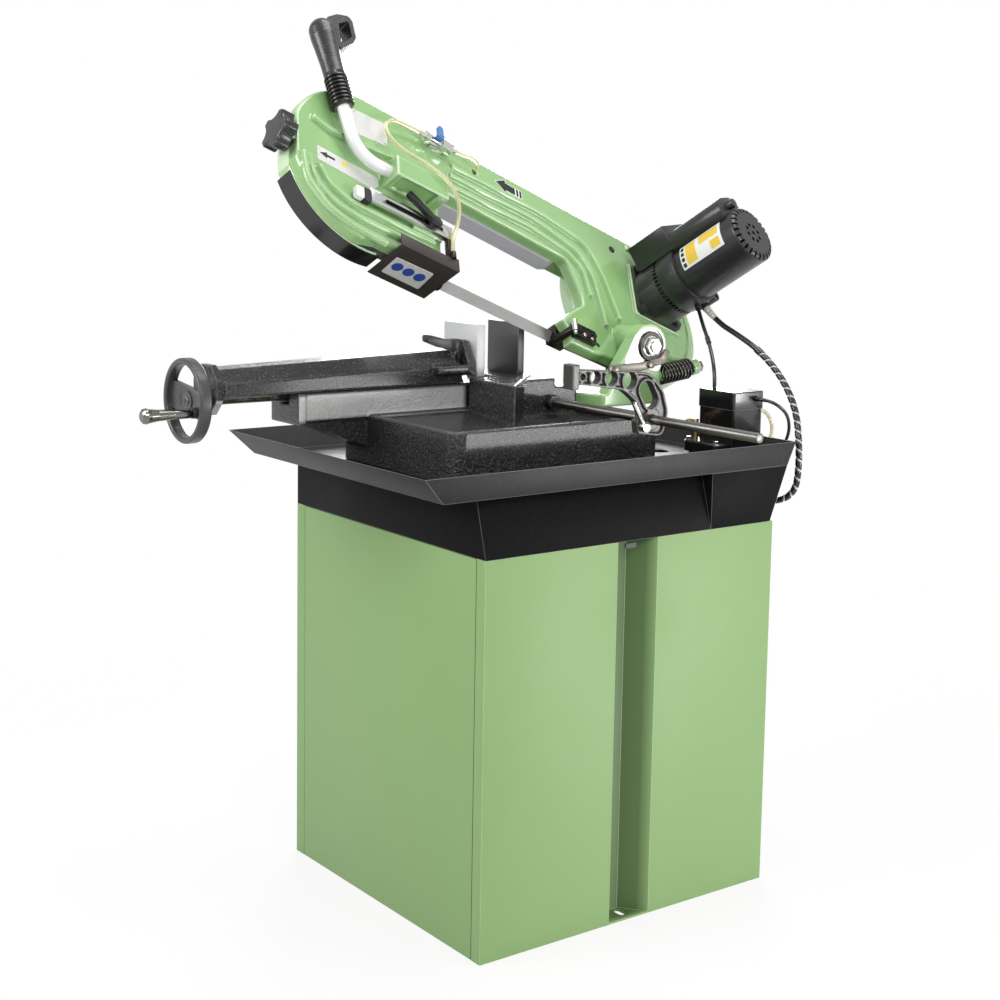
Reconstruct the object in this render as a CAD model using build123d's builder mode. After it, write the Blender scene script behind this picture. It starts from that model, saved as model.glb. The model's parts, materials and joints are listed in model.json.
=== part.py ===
from build123d import *
import os
from math import cos, degrees, pi, radians, sin, sqrt, tan

os.makedirs("parts", exist_ok=True)

# Stand: sheet cabinet with an anchoring groove in each side
cabinet_width = 585
cabinet_depth = 629
cabinet_height = 660
sheet = 2
groove_mouth = 88
groove_bottom = 20
groove_depth = 43
foot_thickness = 3
anchor_spacing = 536
anchor_slot_length = 24
anchor_slot_width = 12
door_left, door_right = -266, 269
door_gap = 1
edge_gap = 0.3

# Plinth and drip tray on the cabinet
plinth_top = 757
plinth_set_back = 28
plinth_rear_low, plinth_rear_high = 308, 347.5
flush_from = 165
tray_rim = 798
tray_floor = 759.5
tray_left, tray_front, tray_rear = -340, -430, 367.5
tray_slope = 34

# Base casting: pan, vise bed and work table
table_top = 902
bed_top = 892
rear_table_top = 886
pan_rim = 847
pan_left, pan_right, pan_front, pan_rear = -168, 180, -300, 147
vise_x = -116
bed_half = 42
bed_front = -441
table_front = -99
table_side = 12
pivot_x, pivot_y = -30, 12
cavity_low, cavity_high = 846.5, 873.5
pin_radius = 15
bolt_places = [(-182, -250), (-182, 100), (194, -250), (194, 100)]
bolt_radius = 6

# Vise
screw_z = 886
screw_radius = 10
journal_radius = 8
carriage_half = 46
carriage_top_half = 24
carriage_front, carriage_rear = -576, -102
jaw_height = 94
hand_wheel_radius = 70
clamp_x, clamp_y = -84, -117

# Bow frame: the blade plane stands across X, the bow leans back and is raised
blade_x = -30
blade_width = 20
blade_thickness = 0.9
hinge_y, hinge_z = 226.8, 954.9
lift = radians(22.4)
lean = radians(35)
hinge_drop = 47.9
wheel_radius = 135
housing_radius = 158
idler_u, drive_u = -608, 53
wheel_v = 135
wheel_half = 11
cast_back, cast_front, rib_front = 16, 40, 46
cover_back = -14
cover_wall = 3
motor_u, motor_v = 98, 173
motor_radius = 56
stud_u, stud_v = -484, 64
stud_radius, stud_foot = 4, 28
shaft_radius = 17.5
running_gap = 0.06
tower_left, tower_right = 24, 54

# Return spring between the tower and the bow
spring_start, spring_end = Vector(39, 262, 898.5), Vector(39, 338, 907.5)
spring_radius, wire_radius, spring_turns = 17, 2.4, 9
spring_bolt_radius = 6
washer = 3
lug_depth = 16
spring_axis = (spring_end - spring_start).normalized()
spring_length = (spring_end - spring_start).length
spring_plane = Plane(origin=spring_start, x_dir=(1, 0, 0), z_dir=spring_axis)

# Blade tension screw and bow handle
tension_radius, tension_w = 6, 23.5
tube_radius, tube_w = 11, 62
trigger_travel = 6

# Stop rod beside the table
rod_y, rod_z = 30, 859
rod_radius = 8
rod_length = 530
stop_x = 277

# Cord routes between the bow, the pump and the stand
main_radius = 5.5
main_route = [
    (14, 404, 1016),
    (48, 402, 992),
    (98, 402, 974),
    (152, 408, 948),
    (206, 414, 904),
    (250, 408, 850),
    (272, 396, 796),
    (276, 394, 745),
    (264, 400, 700),
    (232, 388, 676),
    (192, 352, 678),
]
pump_hose_route = [
    (158, 292, 883),
    (158, 292, 907),
    (138, 304, 938),
    (102, 326, 966),
    (60, 350, 992),
    (18, 378, 1017),
]
pump_cable_route = [
    (225, 330, 870),
    (241, 330, 870),
    (255, 340, 867),
    (262, 358, 856),
    (259, 380, 838),
    (250, 394, 808),
    (234, 394, 776),
    (214, 378, 748),
]
drain_route = [
    (200, 352, 846),
    (200, 366, 846),
    (203, 382, 839),
    (206, 394, 820),
    (204, 396, 796),
    (198, 388, 774),
    (190, 374, 758),
]

# Frame of the bow: u to the rear along the blade, v across it, w out of the face
rear_dir = Vector(0, cos(lift), -sin(lift))
rise_dir = Vector(0, sin(lift), cos(lift))
face_dir = Vector(1, 0, 0) * cos(lean) + rise_dir * sin(lean)
bow_origin = Vector(blade_x, hinge_y, hinge_z) - rise_dir * hinge_drop
bow = Plane(origin=bow_origin, x_dir=rear_dir, z_dir=face_dir)
blade_turn = 90 - degrees(lean)


def bow_point(u, v, w):
    """Point of the bow in the machine's frame."""
    return bow.from_local_coords((u, v, w))


def facing_front(u, v, w):
    """Plane across the blade's length, normal towards the front, v upwards."""
    return Plane(origin=bow_point(u, v, w), x_dir=face_dir, z_dir=rear_dir * -1)


def facing_right(x):
    """Plane across X with Y to the right and Z up."""
    return Plane.YZ.offset(x)


def facing_operator(y):
    """Plane across Y seen from the front, X to the right and Z up."""
    return Plane.XZ.offset(-y)


def tapered(low, high, mode=Mode.ADD):
    """Ruled box between two rectangles given as left, right, front, rear and height."""
    sections = []
    for left, right, front, rear, level in (low, high):
        with BuildSketch(Plane.XY.offset(level)) as section:
            with Locations(((left + right) / 2, (front + rear) / 2)):
                Rectangle(right - left, rear - front)
        sections.append(section.sketch)
    loft(sections, ruled=True, mode=mode)


def slab(left, right, front, rear, low, high, mode=Mode.ADD):
    """Straight block between two corners."""
    with BuildSketch(Plane.XY.offset(low)) as section:
        with Locations(((left + right) / 2, (front + rear) / 2)):
            Rectangle(right - left, rear - front)
    extrude(section.sketch, amount=high - low, mode=mode)


def round_bar(plane, radius, length, mode=Mode.ADD):
    """Cylinder that stands on a plane."""
    with BuildSketch(plane) as section:
        Circle(radius)
    extrude(section.sketch, amount=length, mode=mode)


def bow_round(u, v, w, radius, length, mode=Mode.ADD):
    """Cylinder along the bow's face direction."""
    with BuildSketch(bow.offset(w)) as section:
        with Locations((u, v)):
            Circle(radius)
    extrude(section.sketch, amount=length, mode=mode)


def bow_block(left, right, low, high, back, front, mode=Mode.ADD):
    """Straight block in the bow's frame."""
    with BuildSketch(bow.offset(back)) as section:
        with Locations(((left + right) / 2, (low + high) / 2)):
            Rectangle(right - left, high - low)
    extrude(section.sketch, amount=front - back, mode=mode)


def filled(points, radii, mode=Mode.ADD):
    """Closed outline with rounded corners in the current sketch."""
    with BuildLine() as path:
        FilletPolyline(*points, radius=radii, close=True)
    make_face(path.line.edges(), mode=mode)


def bend_radii(points):
    """Largest even bends that the runs of a cord's route allow."""
    places = [Vector(*p) for p in points]
    radii = []
    for before, here, after in zip(places, places[1:], places[2:]):
        run_in, run_out = here - before, after - here
        half_turn = radians(run_in.get_angle(run_out)) / 2
        radii.append(0.45 * min(run_in.length, run_out.length) / tan(half_turn))
    return radii


def hose(points, radius):
    """Round tube along straight runs and tangent arcs."""
    with BuildLine() as route:
        FilletPolyline(*points, radius=bend_radii(points))
    with BuildSketch(Plane(origin=route.line @ 0, z_dir=route.line % 0)) as section:
        Circle(radius)
    sweep(section.sketch, path=route.wire())
    return route.wire().length * pi * radius**2


def gland(mouth, towards, radius, length):
    """Sleeve from a cord's end back into the piece that holds it."""
    back = (Vector(*mouth) - Vector(*towards)).normalized()
    round_bar(Plane(origin=Vector(*mouth), z_dir=back), radius, length)


def finish(builder, name):
    """Label a finished piece and write it."""
    builder.part.label = name
    export_step(builder.part, f"parts/{name}.step")


# Cabinet
half_width, half_depth = cabinet_width / 2, cabinet_depth / 2
groove_in = half_width - groove_depth
cabinet_outline = [
    (-half_width, -half_depth),
    (half_width, -half_depth),
    (half_width, -groove_mouth / 2),
    (groove_in, -groove_bottom / 2),
    (groove_in, groove_bottom / 2),
    (half_width, groove_mouth / 2),
    (half_width, half_depth),
    (-half_width, half_depth),
    (-half_width, groove_mouth / 2),
    (-groove_in, groove_bottom / 2),
    (-groove_in, -groove_bottom / 2),
    (-half_width, -groove_mouth / 2),
]
door_middle = (door_left + door_right) / 2
door_width = door_right - door_left

with BuildPart() as cabinet_shell:
    with BuildSketch():
        Polygon(*cabinet_outline)
        offset(amount=-sheet, kind=Kind.INTERSECTION, mode=Mode.SUBTRACT)
        with Locations((door_middle, -half_depth)):
            Rectangle(door_width, 30, mode=Mode.SUBTRACT)
    extrude(amount=cabinet_height)
    with BuildSketch():
        Rectangle(cabinet_width, cabinet_depth)
        with Locations((door_middle, -half_depth)):
            Rectangle(door_width, 5, mode=Mode.SUBTRACT)
        with GridLocations(anchor_spacing, 0, 2, 1):
            SlotOverall(anchor_slot_length, anchor_slot_width, mode=Mode.SUBTRACT)
    extrude(amount=foot_thickness)
    with BuildSketch(Plane.XY.offset(cabinet_height - foot_thickness)):
        Polygon(*cabinet_outline)
        offset(amount=-25, kind=Kind.INTERSECTION, mode=Mode.SUBTRACT)
        with Locations((door_middle, -half_depth)):
            Rectangle(door_width, 5, mode=Mode.SUBTRACT)
    extrude(amount=foot_thickness)
finish(cabinet_shell, "cabinet_shell")

with BuildPart() as front_panel:
    panel_width = door_width - 2 * door_gap
    with BuildSketch(Plane.XY.offset(foot_thickness + door_gap)):
        with Locations((door_middle, -half_depth)):
            Rectangle(panel_width, 15, align=(Align.CENTER, Align.MIN))
        with Locations((door_middle, -half_depth + sheet)):
            Rectangle(
                panel_width - 2 * sheet, 15, align=(Align.CENTER, Align.MIN), mode=Mode.SUBTRACT
            )
    extrude(amount=cabinet_height - 2 * foot_thickness - 2 * door_gap)
    slab(
        door_middle - panel_width / 2,
        door_middle + panel_width / 2,
        -half_depth,
        sheet - half_depth,
        edge_gap,
        cabinet_height - edge_gap,
    )
finish(front_panel, "front_panel")

# Plinth frame that holds the tray and the coolant tank
with BuildPart() as plinth_frame:
    tapered(
        (-half_width, half_width, -half_depth, plinth_rear_low, cabinet_height),
        (-half_width, half_width - plinth_set_back, -half_depth, plinth_rear_high, plinth_top),
    )
    with BuildSketch(facing_right(half_width - plinth_set_back - sheet)):
        Polygon(
            (flush_from, cabinet_height),
            (plinth_rear_low, cabinet_height),
            (plinth_rear_high, plinth_top),
            (flush_from, plinth_top),
        )
    extrude(amount=plinth_set_back + sheet)
    tapered(
        (
            sheet - half_width,
            half_width - sheet,
            sheet - half_depth,
            plinth_rear_low - sheet,
            cabinet_height + sheet,
        ),
        (
            sheet - half_width,
            half_width - plinth_set_back - sheet,
            sheet - half_depth,
            plinth_rear_high - sheet,
            plinth_top,
        ),
        mode=Mode.SUBTRACT,
    )
finish(plinth_frame, "plinth_frame")

with BuildPart() as drip_tray:
    floor_left, floor_front = tray_left + tray_slope, tray_front + tray_slope
    tapered(
        (floor_left, half_width, floor_front, plinth_rear_high, plinth_top),
        (tray_left, half_width, tray_front, tray_rear, tray_rim),
    )
    tapered(
        (
            floor_left + sheet,
            half_width - sheet,
            floor_front + sheet,
            plinth_rear_high - sheet,
            tray_floor,
        ),
        (tray_left + sheet, half_width - sheet, tray_front + sheet, tray_rear - sheet, tray_rim),
        mode=Mode.SUBTRACT,
    )
    with BuildSketch(Plane.XY.offset(plinth_top)):
        with Locations(*bolt_places):
            Circle(bolt_radius + 0.5)
        with Locations((60, 250)):
            Circle(18)
    extrude(amount=tray_floor - plinth_top, mode=Mode.SUBTRACT)
finish(drip_tray, "drip_tray")

with BuildPart() as coolant_tank:
    tank_floor = cabinet_height + sheet
    slab(-150, 160, -60, 280, tank_floor, plinth_top - 6)
    slab(-148, 158, -58, 278, tank_floor + sheet, plinth_top - 6, mode=Mode.SUBTRACT)
finish(coolant_tank, "coolant_tank")

# Base casting: hollow foot, sloping pan, bed, table with kerfs and swivel cavity
with BuildPart() as base_casting:
    with BuildSketch(Plane.XY.offset(tray_floor)):
        with Locations(((pan_left + pan_right) / 2, (pan_front + pan_rear) / 2)):
            RectangleRounded(pan_right - pan_left, pan_rear - pan_front, 26)
    extrude(amount=pan_rim - tray_floor)
    with BuildSketch(Plane.XY.offset(tray_floor)):
        with Locations(*bolt_places):
            Circle(17)
    extrude(amount=14)
    with BuildSketch(facing_operator(pan_front + 12)):
        Polygon((-64, 842), (pan_right - 12, 820), (pan_right - 12, 900), (-64, 900))
    extrude(amount=-(pan_rear - pan_front - 24), mode=Mode.SUBTRACT)
    with BuildSketch(Plane.XY.offset(808)):
        Polygon(
            (-62, table_front),
            (77, table_front),
            (table_side, -34),
            (table_side, 40),
            (-160, 40),
            (-160, -34),
            (-62, -34),
        )
    extrude(amount=table_top - 808)
    slab(-160, table_side, 40, 89, 808, rear_table_top)
    slab(vise_x - bed_half, vise_x + bed_half, bed_front, -34, 843, bed_top)
    slab(vise_x - bed_half - 6, vise_x + bed_half + 6, bed_front, bed_front + 15, 837, bed_top)
    with BuildSketch(facing_right(vise_x - bed_half + 6)):
        Polygon((bed_front + 15, 843), (pan_front, 843), (pan_front, 790))
    extrude(amount=2 * bed_half - 12)
    slab(vise_x - 13, vise_x + 13, bed_front, -120, 870, bed_top, mode=Mode.SUBTRACT)
    slab(pan_left + 14, pan_right - 14, pan_front + 14, pan_rear - 14, tray_floor, 806, Mode.SUBTRACT)
    slab(-200, table_side - 8, -28, 200, cavity_low, cavity_high, mode=Mode.SUBTRACT)
    slab(blade_x - 2.5, blade_x + 2.5, table_front, 40, table_top - 13, table_top, Mode.SUBTRACT)
    with BuildSketch(Plane.XY.offset(table_top - 13)):
        with Locations((pivot_x, pivot_y)):
            Rectangle(170, 5, rotation=-45, mode=Mode.ADD)
    extrude(amount=13, mode=Mode.SUBTRACT)
    with Locations((pivot_x, pivot_y, 800)):
        Cylinder(
            pin_radius + 0.05, 89, align=(Align.CENTER, Align.CENTER, Align.MIN), mode=Mode.SUBTRACT
        )
    round_bar(
        Plane(origin=(table_side - 8, rod_y, rod_z), z_dir=(1, 0, 0)),
        rod_radius + 0.05,
        8,
        mode=Mode.SUBTRACT,
    )
    with BuildSketch(Plane.XY.offset(tray_floor)):
        with Locations(*bolt_places):
            Circle(bolt_radius + 0.5)
    extrude(amount=14, mode=Mode.SUBTRACT)
finish(base_casting, "base_casting")

with BuildPart() as base_bolts:
    ear_top = tray_floor + 14
    with BuildSketch(Plane.XY.offset(plinth_top - 14)):
        with Locations(*bolt_places):
            Circle(bolt_radius)
    extrude(amount=ear_top - plinth_top + 14)
    with BuildSketch(Plane.XY.offset(ear_top)):
        with Locations(*bolt_places):
            RegularPolygon(9.5, 6, major_radius=False)
    extrude(amount=8)
    with BuildSketch(Plane.XY.offset(plinth_top - 10)):
        with Locations(*bolt_places):
            RegularPolygon(9.5, 6, major_radius=False)
    extrude(amount=10)
finish(base_bolts, "base_bolts")

with BuildPart() as fixed_jaw:
    slab(vise_x - 42, vise_x + 52, pivot_y, pivot_y + 14, table_top, table_top + jaw_height)
finish(fixed_jaw, "fixed_jaw")

# Vise: nut in the bed, carriage, jaw, screw, hand wheel and clamp lever
with BuildPart() as vise_nut:
    slab(vise_x - 13, vise_x + 13, -422, -386, 870, 897)
    round_bar(
        Plane(origin=(vise_x, -422, screw_z), z_dir=(0, 1, 0)),
        screw_radius + running_gap,
        36,
        mode=Mode.SUBTRACT,
    )
finish(vise_nut, "vise_nut")

with BuildPart() as vise_carriage:
    slide_z = bed_top + 0.3
    for y, shoulder, crown in ((carriage_front, 914, 937), (carriage_rear, 927, 951)):
        with BuildSketch(facing_operator(y)):
            Polygon(
                (vise_x - carriage_half, slide_z),
                (vise_x + carriage_half, slide_z),
                (vise_x + carriage_half, shoulder),
                (vise_x + carriage_top_half, crown),
                (vise_x - carriage_top_half, crown),
                (vise_x - carriage_half, shoulder),
            )
    loft(ruled=True)
    with BuildSketch(facing_right(vise_x - 60)):
        Polygon((carriage_rear, slide_z), (carriage_rear, 960), (carriage_rear - 22, 960))
    extrude(amount=120, mode=Mode.SUBTRACT)
    with BuildSketch(facing_operator(carriage_front)):
        with Locations((vise_x, 903)):
            RegularPolygon(41, 8, major_radius=False, rotation=22.5)
    extrude(amount=14)
    slab(vise_x - 34, vise_x + 34, carriage_front + 14, -140, 890, 912, mode=Mode.SUBTRACT)
    slab(vise_x - 17, vise_x + 17, carriage_front, -130, 890, 903, mode=Mode.SUBTRACT)
    slab(vise_x - 30, vise_x + 30, -126, -85, table_top + 1, 944)
    with BuildSketch(facing_operator(-102)):
        Polygon((-150, 906), (-47, 906), (-47, 912), (-80, 968), (-104, 968), (-150, 944))
    extrude(amount=-12)
    slab(-72, -52, -168, -100, 912, 926)
    round_bar(
        Plane(origin=(vise_x, carriage_front - 14, screw_z), z_dir=(0, 1, 0)),
        journal_radius + running_gap,
        14,
        mode=Mode.SUBTRACT,
    )
    round_bar(Plane(origin=(clamp_x, clamp_y, 930)), 5, 38)
finish(vise_carriage, "vise_carriage")

with BuildPart() as moving_jaw:
    slab(vise_x - 44, vise_x + 58, -85, -66, table_top + 1, table_top + jaw_height)
finish(moving_jaw, "moving_jaw")

with BuildPart() as vise_screw:
    round_bar(Plane(origin=(vise_x, carriage_front, screw_z), z_dir=(0, 1, 0)), screw_radius, 326)
    round_bar(Plane(origin=(vise_x, carriage_front, screw_z), z_dir=(0, -1, 0)), journal_radius, 42)
finish(vise_screw, "vise_screw")

wheel_back = carriage_front - 15
grip_x, grip_z = vise_x + 34, screw_z - 16
with BuildPart() as hand_wheel:
    wheel_plane = Plane(origin=(vise_x, wheel_back, screw_z), x_dir=(1, 0, 0), z_dir=(0, -1, 0))
    with BuildSketch(wheel_plane.offset(19)):
        Circle(hand_wheel_radius)
        Circle(hand_wheel_radius - 10, mode=Mode.SUBTRACT)
    extrude(amount=21)
    fillet(hand_wheel.edges(), 4)
    with BuildSketch(wheel_plane.offset(21)):
        Circle(hand_wheel_radius - 6)
        Rectangle(2 * hand_wheel_radius, 46, rotation=-6, mode=Mode.INTERSECT)
    extrude(amount=8)
    round_bar(wheel_plane, 17, 31)
    round_bar(wheel_plane, journal_radius + 0.05, 31, mode=Mode.SUBTRACT)
    with BuildSketch(wheel_plane.offset(21)):
        with Locations((34, -16)):
            Circle(9)
    extrude(amount=18)
    with BuildSketch(wheel_plane.offset(30)):
        with Locations((34, -16)):
            Circle(4)
    extrude(amount=90)
finish(hand_wheel, "hand_wheel")

with BuildPart() as wheel_grip:
    grip_start, grip_end = wheel_back - 40, wheel_back - 126
    with BuildSketch(Plane(origin=(grip_x, 0, grip_z), x_dir=(1, 0, 0), z_dir=(0, 0, 1))):
        with BuildLine():
            Polyline(
                (0, grip_end),
                (8, grip_end),
                (12, grip_end + 3),
                (13, grip_end + 8),
                (11.5, grip_end + 14),
                (9.5, grip_end + 28),
                (8, grip_end + 56),
                (8, grip_start),
                (0, grip_start),
                close=True,
            )
        make_face()
    revolve(axis=Axis((grip_x, 0, grip_z), (0, 1, 0)))
    round_bar(
        Plane(origin=(grip_x, grip_start, grip_z), z_dir=(0, -1, 0)), 4 + running_gap, 82, Mode.SUBTRACT
    )
finish(wheel_grip, "wheel_grip")

with BuildPart() as vise_lever:
    lever_plane = Plane(origin=(clamp_x, clamp_y, 952))
    round_bar(lever_plane, 12, 18)
    with BuildSketch(facing_right(clamp_x - 8)):
        filled(
            [
                (clamp_y, 952),
                (clamp_y, 969),
                (clamp_y - 26, 972),
                (clamp_y - 62, 981),
                (clamp_y - 62, 968),
                (clamp_y - 30, 956),
            ],
            [0, 0, 8, 5, 5, 8],
        )
    extrude(amount=16)
    round_bar(lever_plane, 5 + running_gap, 18, mode=Mode.SUBTRACT)
finish(vise_lever, "vise_lever")

# Stop rod with its nut, stop arm and clamp lever
with BuildPart() as stop_rod:
    round_bar(Plane(origin=(table_side - 7, rod_y, rod_z), z_dir=(1, 0, 0)), rod_radius, rod_length)
    with BuildSketch(facing_right(table_side)):
        with Locations((rod_y, rod_z)):
            RegularPolygon(12, 6, major_radius=False)
    extrude(amount=13)
finish(stop_rod, "stop_rod")

lever_y, lever_z = rod_y - 22, rod_z - 10
arm_holes = [(-121, 938, 5), (-94, 936, 10), (-60, 933, 12), (-20, 927, 14)]
arm_slot = (22, 901)
arm_half, arm_wall, arm_pocket = 8, 4, 5


def arm_outline():
    """Outer shape of the stop arm in the current sketch."""
    filled(
        [
            (-136, 951),
            (-136, 926),
            (-34, 912),
            (-6, 891),
            (8, 864),
            (rod_y - 34, rod_z),
            (rod_y - 30, rod_z - 22),
            (rod_y + 24, rod_z - 30),
            (rod_y + 36, rod_z + 10),
            (54, 906),
            (24, 938),
        ],
        [8, 6, 40, 20, 8, 4, 6, 14, 30, 30, 40],
    )


with BuildPart() as stop_arm:
    with BuildSketch(facing_right(stop_x - arm_half)) as plate:
        arm_outline()
    extrude(plate.sketch, amount=2 * arm_half)
    for level in (stop_x - arm_half, stop_x + arm_half - arm_pocket):
        with BuildSketch(facing_right(level)) as pocket:
            arm_outline()
            offset(amount=-arm_wall, mode=Mode.REPLACE)
            for y, z, radius in arm_holes:
                with Locations((y, z)):
                    Circle(radius + arm_wall, mode=Mode.SUBTRACT)
            with Locations(arm_slot):
                SlotOverall(50 + 2 * arm_wall, 30 + 2 * arm_wall, rotation=-60, mode=Mode.SUBTRACT)
            with Locations((rod_y, rod_z), (lever_y, lever_z)):
                Circle(rod_radius + 10, mode=Mode.SUBTRACT)
        extrude(pocket.sketch, amount=arm_pocket, mode=Mode.SUBTRACT)
    slab(stop_x - 13, stop_x + 13, -146, -132, 918, 959)
    with BuildSketch(facing_right(stop_x - arm_half)) as holes:
        for y, z, radius in arm_holes + [(rod_y, rod_z, rod_radius + running_gap)]:
            with Locations((y, z)):
                Circle(radius)
        with Locations(arm_slot):
            SlotOverall(50, 30, rotation=-60)
        with Locations((lever_y, lever_z)):
            Circle(4 + running_gap)
    extrude(holes.sketch, amount=2 * arm_half, mode=Mode.SUBTRACT)
finish(stop_arm, "stop_arm")

with BuildPart() as stop_lever:
    round_bar(Plane(origin=(stop_x - 8, lever_y, lever_z), z_dir=(1, 0, 0)), 4, 18)
    round_bar(Plane(origin=(stop_x + 8.4, lever_y, lever_z), z_dir=(1, 0, 0)), 9, 12)
    round_bar(
        Plane(origin=(stop_x + 14.4, lever_y, lever_z), z_dir=(0.2, -0.62, 0.78)),
        3.5,
        56,
    )
finish(stop_lever, "stop_lever")

# Swivel arm: eye under the table, plate to the rear and the hinge tower
with BuildPart() as swivel_arm:
    with BuildSketch(Plane.XY.offset(848)):
        with Locations((pivot_x, pivot_y)):
            Circle(32)
        filled(
            [
                (-62, pivot_y),
                (2, pivot_y),
                (2, 94),
                (tower_right, 118),
                (tower_right, 256),
                (tower_left, 256),
                (tower_left, 185),
                (-75, 185),
                (-75, 110),
            ],
            [0, 0, 8, 10, 0, 0, 8, 14, 20],
        )
    extrude(amount=24)
    with BuildSketch(facing_right(tower_left)):
        Polygon(
            (118, 848),
            (256, 848),
            (252, 905),
            (hinge_y + 39, hinge_z - 10),
            (hinge_y - 26, hinge_z + 30),
            (152, 918),
        )
        with Locations((hinge_y, hinge_z)):
            Circle(40)
    extrude(amount=tower_right - tower_left)
    round_bar(Plane(origin=(39, 250, 897), z_dir=(0, 1, 0.12)), 12, 12)
    with Locations((pivot_x, pivot_y, 848)):
        Cylinder(
            pin_radius + running_gap,
            24,
            align=(Align.CENTER, Align.CENTER, Align.MIN),
            mode=Mode.SUBTRACT,
        )
    round_bar(
        Plane(origin=(tower_left, hinge_y, hinge_z), z_dir=(1, 0, 0)), 31.03, 30, mode=Mode.SUBTRACT
    )
finish(swivel_arm, "swivel_arm")

with BuildPart() as swivel_pin:
    with Locations((pivot_x, pivot_y, 812)):
        Cylinder(pin_radius, 76, align=(Align.CENTER, Align.CENTER, Align.MIN))
finish(swivel_pin, "swivel_pin")

with BuildPart() as hinge_bearings:
    for x in (tower_left + 1, tower_left + 16):
        with BuildSketch(facing_right(x)):
            with Locations((hinge_y, hinge_z)):
                Circle(31)
                Circle(shaft_radius + running_gap, mode=Mode.SUBTRACT)
        extrude(amount=13)
finish(hinge_bearings, "hinge_bearings")

with BuildPart() as limit_lever:
    with BuildSketch(facing_right(tower_right)):
        filled(
            [
                (126, 908),
                (126, 924),
                (205, 926),
                (248, 934),
                (262, 950),
                (271, 942),
                (258, 922),
                (205, 911),
            ],
            [6, 6, 20, 14, 3, 3, 18, 20],
        )
    extrude(amount=6)
    with BuildSketch(facing_right(tower_right + 6)):
        with Locations((140, 916), (222, 921)):
            RegularPolygon(6.5, 6, major_radius=False)
    extrude(amount=6)
finish(limit_lever, "limit_lever")

with BuildPart() as hinge_shaft:
    round_bar(Plane(origin=(-20, hinge_y, hinge_z), z_dir=(1, 0, 0)), shaft_radius, 74.4)
    round_bar(Plane(origin=(54.4, hinge_y, hinge_z), z_dir=(1, 0, 0)), 10, 17)
finish(hinge_shaft, "hinge_shaft")

with BuildPart() as hinge_nut:
    with BuildSketch(facing_right(54.6)):
        with Locations((hinge_y, hinge_z)):
            Circle(20)
            Circle(10.05, mode=Mode.SUBTRACT)
    extrude(amount=2.5)
    with BuildSketch(facing_right(57.1)):
        with Locations((hinge_y, hinge_z)):
            RegularPolygon(15, 6, major_radius=False)
            Circle(10.05, mode=Mode.SUBTRACT)
    extrude(amount=10)
finish(hinge_nut, "hinge_nut")

# Bow casting: two wheel housings, beam with ribs, rear leg and hinge barrel
wheel_centres = [(idler_u, wheel_v), (drive_u, wheel_v)]
bow_top = wheel_v + housing_radius
bow_low = wheel_v - housing_radius
beam_ribs = [
    ([(-418, 240), (-200, 243), (-80, 226), (-40, 160), (-12, 78)], [200, 60, 80]),
    ([(-424, 216), (-215, 219), (-105, 195), (-72, 150), (-52, 46)], [200, 60, 80]),
    ([(-430, 191), (-224, 194), (-140, 181), (-100, 158), (-86, 100)], [200, 60, 40]),
]
idler_ribs = [
    ([(-748, 98), (-740, 44), (-700, 6), (-650, -10), (-578, -14)], [40, 60, 200]),
    ([(-738, 96), (-727, 52), (-690, 21), (-640, 14), (-472, 14)], [40, 60, 150]),
    ([(-716, 84), (-698, 57), (-655, 38), (-472, 36)], [30, 60]),
    ([(-728, 186), (-690, 174), (-622, 178), (-556, 187)], [60, 200]),
]
rib_steps = [(13, 44), (8, 47.5)]
boss_front = 87
knob_pad = -758

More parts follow.
